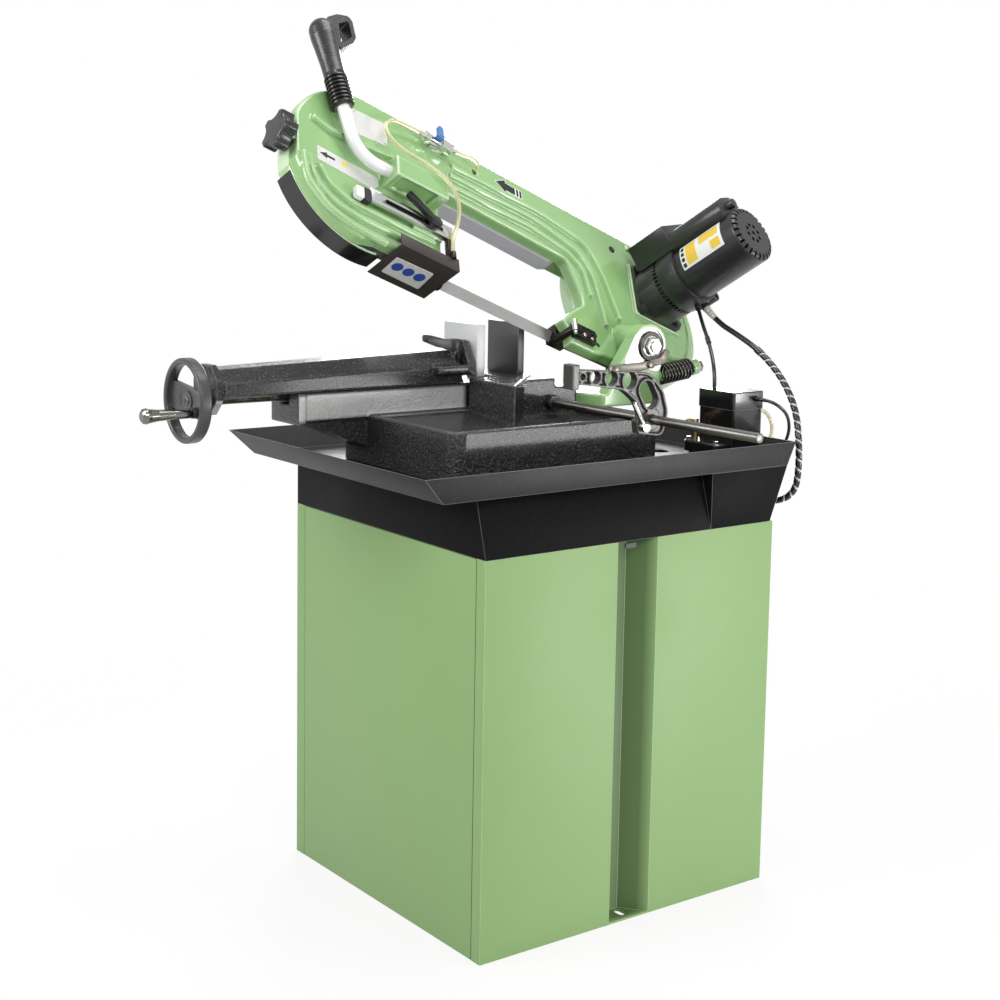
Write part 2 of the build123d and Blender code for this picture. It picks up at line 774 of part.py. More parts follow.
with BuildPart() as bow_casting:
    with BuildSketch(bow.offset(cast_back)):
        with Locations(*wheel_centres):
            Circle(housing_radius)
        Polygon((idler_u, bow_low), (drive_u, bow_low), (drive_u, bow_top), (idler_u, bow_top))
        Polygon((-150, -30), (-92, -30), (-60, bow_low), (-60, 20), (-150, 20))
        filled(
            [
                (-453, -90),
                (-453, 174),
                (-136, 166),
                (-108, 102),
                (-105, 74),
                (-132, 52),
                (-166, 16),
                (-150, -4),
                (-150, -90),
            ],
            [0, 22, 16, 30, 14, 12, 4, 6, 0],
            mode=Mode.SUBTRACT,
        )
        Polygon(
            (-630, -90), (-630, bow_low), (-588, -10), (-440, -10), (-440, -90), mode=Mode.SUBTRACT
        )
    extrude(amount=cast_front - cast_back)
    fillet(bow_casting.faces().sort_by(Axis(bow_origin, face_dir))[-1].edges(), 5)
    for points, radii in beam_ribs + idler_ribs:
        for width, level in rib_steps:
            with BuildSketch(bow.offset(cast_front - 2)):
                with BuildLine():
                    FilletPolyline(*points, radius=radii)
                trace(line_width=width)
            extrude(amount=level - cast_front + 2)
    with BuildSketch(bow.offset(cast_front - 2)):
        with Locations((drive_u, wheel_v)):
            Circle(housing_radius - 10)
            Circle(housing_radius - 21, mode=Mode.SUBTRACT)
        with Locations((-60, wheel_v)):
            Rectangle(200, 400, mode=Mode.SUBTRACT)
    extrude(amount=6)
    with BuildSketch(bow.offset(cast_front - 2)):
        with Locations((motor_u, motor_v)):
            Rectangle(122, 122)
    extrude(amount=rib_front - cast_front + 2)
    bow_block(-584, -470, 106, 148, cast_front - 2, boss_front)
    bow_block(-571, -492, 105, 110.5, cast_front + 10, boss_front - 5, mode=Mode.SUBTRACT)
    bow_block(-520, -455, 47, 81, cast_front - 2, rib_front - 0.3)
    round_bar(Plane(origin=(23.5, hinge_y, hinge_z), z_dir=(-1, 0, 0)), 36, 48.5)
    with BuildSketch(spring_plane.offset(spring_length + washer)):
        Circle(15)
        Rectangle(70, 26, align=(Align.MAX, Align.CENTER))
    extrude(amount=lug_depth)
    split(bisect_by=bow.offset(cast_back), keep=Keep.TOP)
    round_bar(
        Plane(origin=(24, hinge_y, hinge_z), z_dir=(-1, 0, 0)), shaft_radius + 0.03, 44, Mode.SUBTRACT
    )
    bow_block(-652, -552, wheel_v - 26.5, wheel_v + 26.5, cast_back, 31, mode=Mode.SUBTRACT)
    bow_block(knob_pad - 30, knob_pad, 88, 182, cast_back, 60, mode=Mode.SUBTRACT)
    round_bar(facing_front(-640, wheel_v, tension_w), tension_radius + running_gap, 140, Mode.SUBTRACT)
    round_bar(
        spring_plane.offset(spring_length), spring_bolt_radius + 0.05, lug_depth + 10, Mode.SUBTRACT
    )
    bow_round(drive_u, wheel_v, cast_back, 20 + running_gap, 22, mode=Mode.SUBTRACT)
    round_bar(facing_front(-530, 127, tube_w), tube_radius + 0.05, 60, mode=Mode.SUBTRACT)
    bow_round(stud_u, stud_v, stud_foot, stud_radius + 0.05, 30, mode=Mode.SUBTRACT)
    bow_round(-357, 262, 30, 6, 20, mode=Mode.SUBTRACT)
    bow_round(-1, 253, cast_back, 7, 40, mode=Mode.SUBTRACT)
finish(bow_casting, "bow_casting")

# Covers behind the wheels and under the beam
with BuildPart() as wheel_cover:
    for level, wall, depth, mode in (
        (cover_back, 0, cast_back - cover_back, Mode.ADD),
        (cover_back + 2, cover_wall, cast_back - cover_back - 2, Mode.SUBTRACT),
    ):
        with BuildSketch(bow.offset(level)):
            with Locations(*wheel_centres):
                Circle(housing_radius - wall)
            Polygon(
                (idler_u, 172 + wall),
                (drive_u, 172 + wall),
                (drive_u, bow_top - wall),
                (idler_u, bow_top - wall),
            )
        extrude(amount=depth, mode=mode)
    bow_block(knob_pad, knob_pad + cover_wall, 82, 188, cover_back, cast_back)
    bow_block(knob_pad - 30, knob_pad, 80, 190, cover_back, cast_back, mode=Mode.SUBTRACT)
    bow_block(-580, -440, -40, 14, cover_back, cast_back, mode=Mode.SUBTRACT)
    bow_block(-110, -5, -24, 14, cover_back, cast_back, mode=Mode.SUBTRACT)
finish(wheel_cover, "wheel_cover")

with BuildPart() as blade_channel:
    with BuildSketch(bow.offset(cover_back)):
        filled([(-448, 172), (-448, 168), (-200, 163), (-180, 172)], [0, 0, 0, 0])
    extrude(amount=cast_back - cover_back)
finish(blade_channel, "blade_channel")

# Wheels, shaft and tension slide
rim_radius = wheel_radius - 0.3


def wheel_disc(u):
    """Rim, web with lightening holes and hub of a band wheel."""
    bow_round(u, wheel_v, -wheel_half, rim_radius, 2 * wheel_half)
    for level in (-wheel_half, 4):
        with BuildSketch(bow.offset(level)) as recess:
            with Locations((u, wheel_v)):
                Circle(rim_radius - 18)
                Circle(36, mode=Mode.SUBTRACT)
        extrude(recess.sketch, amount=wheel_half - 4, mode=Mode.SUBTRACT)
    with BuildSketch(bow.offset(-4)) as holes:
        with Locations((u, wheel_v)):
            with PolarLocations(76, 5):
                Circle(24)
    extrude(holes.sketch, amount=8, mode=Mode.SUBTRACT)


with BuildPart() as drive_wheel:
    wheel_disc(drive_u)
    bow_round(drive_u, wheel_v, wheel_half - 1, 20, 27)
finish(drive_wheel, "drive_wheel")

with BuildPart() as idler_wheel:
    wheel_disc(idler_u)
    bow_round(idler_u, wheel_v, -wheel_half, 17 + running_gap, 2 * wheel_half, mode=Mode.SUBTRACT)
finish(idler_wheel, "idler_wheel")

with BuildPart() as idler_slide:
    bow_block(idler_u - 40, idler_u + 40, wheel_v - 26, wheel_v + 26, 16.4, 30.5)
    bow_round(idler_u, wheel_v, -9, 17, 26)
    round_bar(facing_front(-616, wheel_v, tension_w), tension_radius + running_gap, 40, Mode.SUBTRACT)
finish(idler_slide, "idler_slide")

with BuildPart() as tension_knob:
    round_bar(facing_front(-627, wheel_v, tension_w), tension_radius, 150)
    round_bar(facing_front(knob_pad - 1, wheel_v, tension_w), 20, 11)
    with BuildSketch(facing_front(knob_pad - 10, wheel_v, tension_w)) as star:
        Circle(36)
        with PolarLocations(45, 5, start_angle=20):
            Circle(19, mode=Mode.SUBTRACT)
        fillet(star.vertices(), 5)
    extrude(amount=25)
    fillet(tension_knob.faces().sort_by(Axis(bow_origin, rear_dir * -1))[-1].edges(), 4)
finish(tension_knob, "tension_knob")

# Blade: flat round the wheels, turned upright between the guides
with BuildPart() as saw_blade:
    outer, inner = wheel_radius + blade_thickness, wheel_radius
    with BuildSketch(bow.offset(-blade_width / 2)):
        for radius, mode in ((outer, Mode.ADD), (inner, Mode.SUBTRACT)):
            with Locations(*wheel_centres):
                Circle(radius, mode=mode)
            Polygon(
                (idler_u, wheel_v - radius),
                (drive_u, wheel_v - radius),
                (drive_u, wheel_v + radius),
                (idler_u, wheel_v + radius),
                mode=mode,
            )
    extrude(amount=blade_width)
    bow_block(-560, -10, -5, 5, -12, 12, mode=Mode.SUBTRACT)
    for u, turn in ((-560, 0), (-470, blade_turn), (-130, blade_turn), (-10, 0)):
        with BuildSketch(facing_front(u, -blade_thickness / 2, 0)):
            Rectangle(blade_width, blade_thickness, rotation=turn)
    loft(ruled=True)
finish(saw_blade, "saw_blade")

# Gear motor on the bow's rear
box_turn = radians(30)
motor_x = rear_dir * cos(box_turn) + bow.y_dir * sin(box_turn)
motor = Plane(origin=bow_point(motor_u, motor_v, 0), x_dir=motor_x, z_dir=face_dir)

with BuildPart() as gearbox:
    with BuildSketch(bow.offset(rib_front)):
        with Locations((motor_u, motor_v)):
            RectangleRounded(116, 116, 14)
    extrude(amount=8)
    round_bar(motor.offset(54), 60, 44)
    round_bar(motor.offset(98), 55, 10)
    round_bar(motor.offset(108), 62, 42)
    with BuildSketch(motor.offset(112)):
        with PolarLocations(62, 1, start_angle=-57):
            Circle(12)
    extrude(amount=38)
    with BuildSketch(motor.offset(140)):
        with PolarLocations(66, 1, start_angle=-57):
            Circle(4)
    extrude(amount=10, mode=Mode.SUBTRACT)
    gland(main_route[0], main_route[1], 8, 26)
    gland(pump_hose_route[-1], pump_hose_route[-2], 6, 22)
    with BuildSketch(bow.offset(54)):
        with Locations((motor_u, motor_v)):
            with GridLocations(92, 92, 2, 2):
                RegularPolygon(7, 6, major_radius=False)
    extrude(amount=7)
finish(gearbox, "gearbox")

with BuildPart() as motor_shell:
    round_bar(motor.offset(150), motor_radius, 118)
    round_bar(motor.offset(158), motor_radius - 4, 110, mode=Mode.SUBTRACT)
finish(motor_shell, "motor_shell")

with BuildPart() as motor_cap:
    round_bar(motor.offset(268), motor_radius, 32)
    fillet(motor_cap.faces().sort_by(Axis(bow_origin, face_dir))[-1].edges(), 9)
    round_bar(motor.offset(268), motor_radius - 4, 28, mode=Mode.SUBTRACT)
    with BuildSketch(motor.offset(294)):
        Circle(4)
        with PolarLocations(17, 8):
            Circle(4)
        with PolarLocations(51, 26):
            Rectangle(13, 4.5)
    extrude(amount=8, mode=Mode.SUBTRACT)
finish(motor_cap, "motor_cap")

with BuildPart() as motor_rotor:
    round_bar(motor.offset(162), 40, 88)
    round_bar(motor.offset(250), 7, 36)
    round_bar(motor.offset(262), 12, 22)
    with BuildSketch(motor.offset(266)):
        with PolarLocations(26, 7):
            Rectangle(32, 2.5)
    extrude(amount=16)
finish(motor_rotor, "motor_rotor")

with BuildPart() as terminal_box:
    with BuildSketch(motor.offset(64)):
        with Locations((6, 0)):
            Rectangle(78, 104, align=(Align.CENTER, Align.MIN))
        Circle(63, mode=Mode.SUBTRACT)
    extrude(amount=88)
    with BuildSketch(motor.offset(152)):
        with Locations((0, 62)):
            SlotOverall(72, 52)
        Circle(motor_radius + 0.3, mode=Mode.SUBTRACT)
    extrude(amount=128)
    with BuildSketch(motor.offset(280)):
        with Locations((4, 70)):
            Circle(9)
    extrude(amount=12)
finish(terminal_box, "terminal_box")

# Bow handle: bent tube, ribbed boot, grip and trigger
tube_points = [(-540, 127), (-652, 127), (-698.2, 301)]
tube_dir = (Vector(*tube_points[2]) - Vector(*tube_points[1])).normalized()


def along_tube(distance):
    """Plane across the handle tube's upper run, counted from its corner."""
    corner = Vector(*tube_points[1]) + tube_dir * distance
    normal = rear_dir * tube_dir.X + bow.y_dir * tube_dir.Y
    return Plane(origin=bow_point(corner.X, corner.Y, tube_w), x_dir=face_dir, z_dir=normal)


boot_start, boot_end = 96, 157
boot_ribs = 8
with BuildPart() as handle_tube:
    with BuildLine(bow.offset(tube_w)):
        FilletPolyline(*tube_points, radius=58)
    with BuildSketch(facing_front(tube_points[0][0], tube_points[0][1], tube_w)):
        Circle(tube_radius)
    sweep()
finish(handle_tube, "handle_tube")

with BuildPart() as handle_boot:
    pitch = (boot_end - boot_start) / boot_ribs
    for rib in range(boot_ribs):
        start = boot_start + rib * pitch
        for share, radius in ((0, 15), (0.35, 20), (0.65, 20), (0.99, 15)):
            with BuildSketch(along_tube(start + share * pitch)):
                Circle(radius)
    loft(ruled=True)
    round_bar(along_tube(boot_start), tube_radius + 0.05, boot_end - boot_start, mode=Mode.SUBTRACT)
finish(handle_boot, "handle_boot")

grip_plane = along_tube(boot_end)
grip_side = Plane(
    origin=grip_plane.origin,
    x_dir=face_dir,
    z_dir=face_dir.cross(grip_plane.z_dir),
)
grip_profile = [(0, 0), (16, 0), (18.5, 5), (19, 30), (21, 60), (23, 84), (23, 98)]
grip_top = 121
loop_outer = [
    (-715, 400),
    (-694, 420),
    (-669, 431),
    (-660, 424),
    (-653, 388),
    (-660, 371),
    (-684, 344),
    (-715, 344),
]
loop_inner = [(-691, 399), (-672, 417), (-668, 416), (-662, 385), (-667, 377), (-687, 353)]
trigger_low, trigger_high = 362, 392

with BuildPart() as grip_shell:
    with BuildSketch(grip_side):
        with BuildLine():
            Polyline(*grip_profile)
            RadiusArc(grip_profile[-1], (0, grip_top), -23)
            Line((0, grip_top), (0, 0))
        make_face()
    revolve(axis=Axis(grip_plane.origin, grip_plane.z_dir))
    with BuildSketch(bow.offset(tube_w - 13)):
        filled(loop_outer, [4, 14, 6, 6, 10, 10, 10, 4])
        filled(loop_inner, [3, 3, 3, 4, 4, 3], mode=Mode.SUBTRACT)
    extrude(amount=26)
    round_bar(grip_plane, tube_radius + 0.05, 24, mode=Mode.SUBTRACT)
    bow_block(
        -712.5 - trigger_travel,
        -680,
        trigger_low - 0.3,
        trigger_high + 0.3,
        tube_w - 6.3,
        tube_w + 6.3,
        mode=Mode.SUBTRACT,
    )
finish(grip_shell, "grip_shell")

with BuildPart() as trigger:
    with BuildSketch(bow.offset(tube_w - 6)):
        filled(
            [
                (-712, trigger_low),
                (-682, trigger_low + 6),
                (-679, 384),
                (-685, trigger_high),
                (-712, trigger_high),
            ],
            [0, 4, 6, 4, 0],
        )
    extrude(amount=12)
finish(trigger, "trigger")

# Blade guides, guard and clamp lever
with BuildPart() as guide_bar:
    bow_block(-620, -440, 50, 78, rib_front, rib_front + 10)
    with BuildSketch(bow.offset(rib_front)):
        with Locations((-524.5, 64)):
            SlotOverall(127, 9.5, mode=Mode.ADD)
    extrude(amount=10, mode=Mode.SUBTRACT)
finish(guide_bar, "guide_bar")

with BuildPart() as front_guide:
    bow_block(-452, -440, -12, 50, rib_front + 0.4, rib_front + 10)
    bow_block(-442, -430, -12, 14, 8, rib_front + 10)
    round_bar(facing_front(-428, 0, 0), 15, 38)
    round_bar(Plane(origin=bow_point(-446, 20, 60), z_dir=bow.y_dir * -1), 5, 13.5)
    with BuildSketch(facing_front(-427, -blade_thickness / 2, 0)):
        Rectangle(blade_width + 1.4, blade_thickness + 1.2, rotation=blade_turn)
    extrude(amount=42, mode=Mode.SUBTRACT)
finish(front_guide, "front_guide")

with BuildPart() as blade_guard:
    with BuildSketch(facing_front(-436, 0, 0)):
        Polygon((-32, -18.5), (60, -18.5), (60, 6), (58, 6), (58, -16.5), (-32, -16.5))
    extrude(amount=125)
finish(blade_guard, "blade_guard")

with BuildPart() as guide_stud:
    bow_round(stud_u, stud_v, stud_foot, stud_radius, rib_front + 18 - stud_foot)
finish(guide_stud, "guide_stud")

with BuildPart() as guide_lever:
    bow_round(stud_u, stud_v, rib_front + 10.4, 11, 12)
    with BuildSketch(bow.offset(rib_front + 14)):
        with Locations((-511, 79)):
            SlotOverall(78, 12, rotation=-29)
    extrude(amount=9)
    bow_round(stud_u, stud_v, rib_front + 10, stud_radius + running_gap, 8.4, mode=Mode.SUBTRACT)
finish(guide_lever, "guide_lever")

with BuildPart() as rear_guide:
    bow_block(-162, -126, -11, 20, -13, 14)
    bow_block(-162, -151, -16, -6, 6, cast_front + 12)
    bow_block(-162, -96, -16, -6, cast_front + 0.02, cast_front + 12)
    bow_block(-150, -96, -20, 8, cast_front + 0.02, cast_front + 12)
    with BuildSketch(facing_front(-120, -blade_thickness / 2, 0)):
        Rectangle(blade_width + 1.4, blade_thickness + 1.2, rotation=blade_turn)
    extrude(amount=50, mode=Mode.SUBTRACT)
    with BuildSketch(bow.offset(cast_front + 12)):
        with Locations((-140, -8), (-118, -12), (-104, -6)):
            RegularPolygon(5, 6, major_radius=False)
    extrude(amount=5)
finish(rear_guide, "rear_guide")

# Coolant valve with its small hoses
valve_w = 54
with BuildPart() as valve_body:
    with BuildSketch(facing_front(-428, 268, valve_w)):
        RegularPolygon(11, 6, major_radius=False)
    extrude(amount=24)
    round_bar(facing_front(-452, 268, valve_w), 8, 24)
    with BuildSketch(facing_front(-476, 268, valve_w)):
        RegularPolygon(9, 6, major_radius=False)
    extrude(amount=10)
    round_bar(facing_front(-486, 268, valve_w), 5, 12)
    round_bar(facing_front(-416, 268, valve_w), 5, 12)
    bow_round(-462, 268, valve_w, 4, 14)
    bow_block(-470, -440, 258, 278, cast_front, valve_w - 6)
finish(valve_body, "valve_body")

with BuildPart() as valve_lever:
    bow_round(-462, 268, valve_w + 9, 7, 8)
    with BuildSketch(bow.offset(valve_w + 11)):
        with Locations((-462, 275)):
            SlotOverall(34, 12, rotation=90)
    extrude(amount=5)
    bow_round(-462, 268, valve_w + 9, 4 + running_gap, 5.5, mode=Mode.SUBTRACT)
finish(valve_lever, "valve_lever")

hose_radius = 3.5
valve_route = [(-416, 268, 54), (-400, 268, 54), (-378, 270, 58), (-359, 264, 57), (-357, 262, 44)]
nozzle_route = [
    (-498, 268, 54),
    (-524, 268, 54),
    (-564, 256, 62),
    (-588, 234, 64),
    (-586, 206, 66),
    (-558, 182, 72),
    (-520, 158, 91),
    (-478, 136, 98),
    (-448, 111, 88),
    (-434, 84, 66),
    (-446, 50, 60),
    (-446, 20, 60),
]
with BuildPart() as valve_hose:
    valve_hose_ideal = hose([bow_point(*p) for p in valve_route], hose_radius)
finish(valve_hose, "valve_hose")
with BuildPart() as nozzle_hose:
    nozzle_hose_ideal = hose([bow_point(*p) for p in nozzle_route], hose_radius)
finish(nozzle_hose, "nozzle_hose")

# Return spring as a coil of tangent arcs, and its bolt

def coil_point(turn):
    """Point of the spring's centre line after a number of turns."""
    angle = 2 * pi * turn
    rise = wire_radius + (spring_length - 2 * wire_radius) * turn / spring_turns
    return spring_plane.from_local_coords(
        (spring_radius * cos(angle), spring_radius * sin(angle), rise)
    )


def coil_direction(turn):
    """Direction of the spring's centre line after a number of turns."""
    angle = 2 * pi * turn
    climb = (spring_length - 2 * wire_radius) / (2 * pi * spring_turns)
    local = Vector(-spring_radius * sin(angle), spring_radius * cos(angle), climb).normalized()
    return spring_plane.x_dir * local.X + spring_plane.y_dir * local.Y + spring_plane.z_dir * local.Z


with BuildPart() as return_spring:
    with BuildLine() as coil:
        first, last = coil_point(0), coil_point(spring_turns)
        Line(first - coil_direction(0) * 2 * wire_radius, first)
        for quarter in range(4 * spring_turns):
            start, end = coil_point(quarter / 4), coil_point((quarter + 1) / 4)
            start_dir, end_dir = coil_direction(quarter / 4), coil_direction((quarter + 1) / 4)
            chord, both = end - start, start_dir + end_dir
            spread = 2 * (1 - start_dir.dot(end_dir))
            reach = (sqrt(chord.dot(both) ** 2 + spread * chord.dot(chord)) - chord.dot(both)) / spread
            middle = (start + end + (start_dir - end_dir) * reach) * 0.5
            middle_dir = (end - end_dir * reach - start - start_dir * reach).normalized()
            TangentArc(start, middle, tangent=start_dir)
            TangentArc(middle, end, tangent=middle_dir)
        Line(last, last + coil_direction(spring_turns) * 2 * wire_radius)
    with BuildSketch(Plane(origin=coil.line @ 0, z_dir=coil.line % 0)):
        Circle(wire_radius)
    sweep()
finish(return_spring, "return_spring")

with BuildPart() as spring_bolt:
    shank = 24 + washer + lug_depth
    round_bar(spring_plane.offset(spring_length - 24), spring_bolt_radius, shank)
    round_bar(spring_plane.offset(spring_length), 14, washer)
    with BuildSketch(spring_plane.offset(spring_length + washer + lug_depth)):
        RegularPolygon(10, 6, major_radius=False)
    extrude(amount=9)
finish(spring_bolt, "spring_bolt")

# Coolant pump in the tray's rear corner
pump_left, pump_right, pump_front, pump_rear, pump_top = 132, 225, 276, 352, 883
lid_low, flange_top = 851, 771
outlet_x, outlet_y = 140, 263

with BuildPart() as pump_box:
    for inset, low, high in ((1.5, flange_top, lid_low), (0, lid_low, pump_top)):
        with BuildSketch(Plane.XY.offset(low)):
            with Locations(((pump_left + pump_right) / 2, (pump_front + pump_rear) / 2)):
                RectangleRounded(
                    pump_right - pump_left - 2 * inset,
                    pump_rear - pump_front - 2 * inset,
                    6,
                )
        extrude(amount=high - low)
    fillet(pump_box.faces().sort_by(Axis.Z)[-1].edges(), 2)
    with BuildSketch(Plane.XY.offset(tray_floor)):
        with Locations((169, 297)):
            RectangleRounded(90, 96, 26)
    extrude(amount=flange_top - tray_floor)
finish(pump_box, "pump_box")

with BuildPart() as pump_fitting:
    round_bar(Plane(origin=(outlet_x, outlet_y, flange_top)), 7, 58)
    round_bar(Plane(origin=(outlet_x, outlet_y, 820), z_dir=(0, -1, 0)), 5, 34)
    with BuildSketch(Plane(origin=(outlet_x, outlet_y - 10, 820), z_dir=(0, -1, 0))):
        RegularPolygon(8, 6, major_radius=False)
    extrude(amount=9)
finish(pump_fitting, "pump_fitting")

# Cords between the bow, the pump and the stand
with BuildPart() as main_cable:
    main_ideal = hose(main_route, main_radius)
finish(main_cable, "main_cable")
with BuildPart() as pump_hose:
    pump_hose_ideal = hose(pump_hose_route, 3.5)
finish(pump_hose, "pump_hose")
with BuildPart() as pump_cable:
    pump_cable_ideal = hose(pump_cable_route, 3)
finish(pump_cable, "pump_cable")
with BuildPart() as drain_tube:
    drain_ideal = hose(drain_route, 3.5)
finish(drain_tube, "drain_tube")

rear_wall = Plane(
    origin=(0, plinth_rear_low, cabinet_height),
    x_dir=(1, 0, 0),
    z_dir=(0, plinth_top - cabinet_height, plinth_rear_low - plinth_rear_high),
)
with BuildPart() as cable_glands:
    for route, radius in ((main_route, 9), (pump_cable_route, 6), (drain_route, 6)):
        gland(route[-1], route[-2], radius, 70)
    split(bisect_by=rear_wall.offset(0.02), keep=Keep.TOP)
finish(cable_glands, "cable_glands")

for label, built, ideal, route in (
    ("main cable", main_cable, main_ideal, main_route),
    ("pump hose", pump_hose, pump_hose_ideal, pump_hose_route),
    ("pump cable", pump_cable, pump_cable_ideal, pump_cable_route),
    ("drain tube", drain_tube, drain_ideal, drain_route),
    ("valve hose", valve_hose, valve_hose_ideal, valve_route),
    ("nozzle hose", nozzle_hose, nozzle_hose_ideal, nozzle_route),
):
    shown = ", ".join(f"{r:.0f}" for r in bend_radii(route))
    print(f"{label}: bend radii {shown}, volume share {built.part.volume / ideal:.3f}")

samples = [coil_point(step / 24) for step in range(24 * spring_turns + 1)]
least = min((a - b).length for i, a in enumerate(samples) for b in samples[i + 12 :])
print(f"spring: least gap to itself {least - 2 * wire_radius:.2f}")
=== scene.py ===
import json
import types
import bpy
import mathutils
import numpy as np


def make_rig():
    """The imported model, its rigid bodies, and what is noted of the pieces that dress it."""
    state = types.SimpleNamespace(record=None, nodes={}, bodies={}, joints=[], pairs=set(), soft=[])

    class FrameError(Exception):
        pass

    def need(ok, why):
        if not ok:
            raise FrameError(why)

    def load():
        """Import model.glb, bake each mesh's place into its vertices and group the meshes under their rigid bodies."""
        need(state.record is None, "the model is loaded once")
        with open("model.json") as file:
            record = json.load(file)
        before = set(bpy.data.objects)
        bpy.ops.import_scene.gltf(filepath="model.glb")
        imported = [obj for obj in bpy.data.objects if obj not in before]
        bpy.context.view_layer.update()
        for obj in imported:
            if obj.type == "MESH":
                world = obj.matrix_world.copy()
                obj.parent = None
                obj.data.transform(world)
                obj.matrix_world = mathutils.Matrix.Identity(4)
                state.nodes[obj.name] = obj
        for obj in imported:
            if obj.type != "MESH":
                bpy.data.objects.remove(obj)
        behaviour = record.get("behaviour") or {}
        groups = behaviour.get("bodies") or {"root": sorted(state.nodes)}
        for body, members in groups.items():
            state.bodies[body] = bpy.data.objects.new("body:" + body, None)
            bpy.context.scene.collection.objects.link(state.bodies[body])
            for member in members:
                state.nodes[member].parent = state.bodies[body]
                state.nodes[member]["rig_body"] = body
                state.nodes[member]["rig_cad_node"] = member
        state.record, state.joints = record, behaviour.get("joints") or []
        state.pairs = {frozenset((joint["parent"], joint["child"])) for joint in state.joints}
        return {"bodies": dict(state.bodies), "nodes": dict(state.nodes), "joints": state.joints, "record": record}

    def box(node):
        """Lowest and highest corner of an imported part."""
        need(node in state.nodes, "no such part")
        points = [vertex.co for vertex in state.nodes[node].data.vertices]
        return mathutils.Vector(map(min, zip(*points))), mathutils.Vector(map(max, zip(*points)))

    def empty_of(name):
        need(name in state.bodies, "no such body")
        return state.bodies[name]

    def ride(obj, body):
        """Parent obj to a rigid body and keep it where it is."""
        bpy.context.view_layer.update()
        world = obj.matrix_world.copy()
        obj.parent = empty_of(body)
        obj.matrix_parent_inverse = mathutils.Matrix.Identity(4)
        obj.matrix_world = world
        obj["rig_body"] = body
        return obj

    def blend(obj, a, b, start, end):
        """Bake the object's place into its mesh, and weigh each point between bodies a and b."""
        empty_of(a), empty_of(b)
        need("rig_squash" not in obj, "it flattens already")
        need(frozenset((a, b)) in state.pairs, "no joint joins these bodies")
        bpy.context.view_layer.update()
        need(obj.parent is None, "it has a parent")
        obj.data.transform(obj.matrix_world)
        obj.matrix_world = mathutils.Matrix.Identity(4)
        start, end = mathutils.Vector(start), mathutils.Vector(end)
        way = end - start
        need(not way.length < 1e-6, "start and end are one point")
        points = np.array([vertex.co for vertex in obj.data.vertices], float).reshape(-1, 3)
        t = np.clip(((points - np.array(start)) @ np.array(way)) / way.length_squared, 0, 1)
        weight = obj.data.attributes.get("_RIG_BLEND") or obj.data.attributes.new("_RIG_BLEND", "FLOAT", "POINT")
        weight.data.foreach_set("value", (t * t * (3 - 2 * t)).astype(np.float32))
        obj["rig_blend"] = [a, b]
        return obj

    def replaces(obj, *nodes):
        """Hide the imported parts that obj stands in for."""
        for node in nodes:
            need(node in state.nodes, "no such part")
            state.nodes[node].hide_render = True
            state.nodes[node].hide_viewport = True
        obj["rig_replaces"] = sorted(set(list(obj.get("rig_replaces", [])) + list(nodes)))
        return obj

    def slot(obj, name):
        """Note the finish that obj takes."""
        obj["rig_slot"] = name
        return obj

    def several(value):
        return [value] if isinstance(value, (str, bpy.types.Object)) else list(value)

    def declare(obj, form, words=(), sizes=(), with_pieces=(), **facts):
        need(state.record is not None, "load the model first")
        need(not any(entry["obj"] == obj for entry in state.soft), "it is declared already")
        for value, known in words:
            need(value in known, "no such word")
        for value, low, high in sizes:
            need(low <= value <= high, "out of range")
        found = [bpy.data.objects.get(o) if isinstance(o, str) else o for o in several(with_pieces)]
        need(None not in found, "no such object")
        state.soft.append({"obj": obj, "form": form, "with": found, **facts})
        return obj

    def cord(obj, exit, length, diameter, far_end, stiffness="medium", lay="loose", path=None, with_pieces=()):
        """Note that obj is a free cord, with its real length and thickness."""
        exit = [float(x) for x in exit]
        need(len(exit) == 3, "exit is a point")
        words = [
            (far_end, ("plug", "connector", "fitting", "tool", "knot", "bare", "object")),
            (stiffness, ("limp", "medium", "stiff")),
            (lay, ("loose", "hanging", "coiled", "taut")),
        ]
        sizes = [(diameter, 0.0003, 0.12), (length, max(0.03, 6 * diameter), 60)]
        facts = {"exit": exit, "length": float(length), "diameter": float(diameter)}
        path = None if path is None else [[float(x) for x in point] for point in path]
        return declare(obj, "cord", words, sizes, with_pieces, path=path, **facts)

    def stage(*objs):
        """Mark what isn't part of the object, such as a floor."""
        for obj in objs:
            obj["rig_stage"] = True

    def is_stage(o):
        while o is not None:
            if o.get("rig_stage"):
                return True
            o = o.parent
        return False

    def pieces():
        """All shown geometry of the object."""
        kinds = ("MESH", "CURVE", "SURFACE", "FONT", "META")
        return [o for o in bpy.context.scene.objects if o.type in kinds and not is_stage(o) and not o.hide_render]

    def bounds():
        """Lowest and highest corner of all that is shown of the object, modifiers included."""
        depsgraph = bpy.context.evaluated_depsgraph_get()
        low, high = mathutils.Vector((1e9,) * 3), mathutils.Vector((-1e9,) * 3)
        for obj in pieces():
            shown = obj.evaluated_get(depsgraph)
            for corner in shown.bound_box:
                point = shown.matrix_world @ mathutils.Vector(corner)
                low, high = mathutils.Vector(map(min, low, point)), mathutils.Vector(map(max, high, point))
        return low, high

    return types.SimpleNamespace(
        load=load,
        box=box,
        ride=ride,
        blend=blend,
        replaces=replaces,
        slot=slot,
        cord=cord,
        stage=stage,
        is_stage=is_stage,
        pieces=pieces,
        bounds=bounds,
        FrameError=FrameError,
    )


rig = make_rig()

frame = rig.load()

import json
import math
import bmesh
import bpy
from mathutils import Matrix, Vector

cad_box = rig.bounds()
scene = bpy.context.scene
MM = 0.001

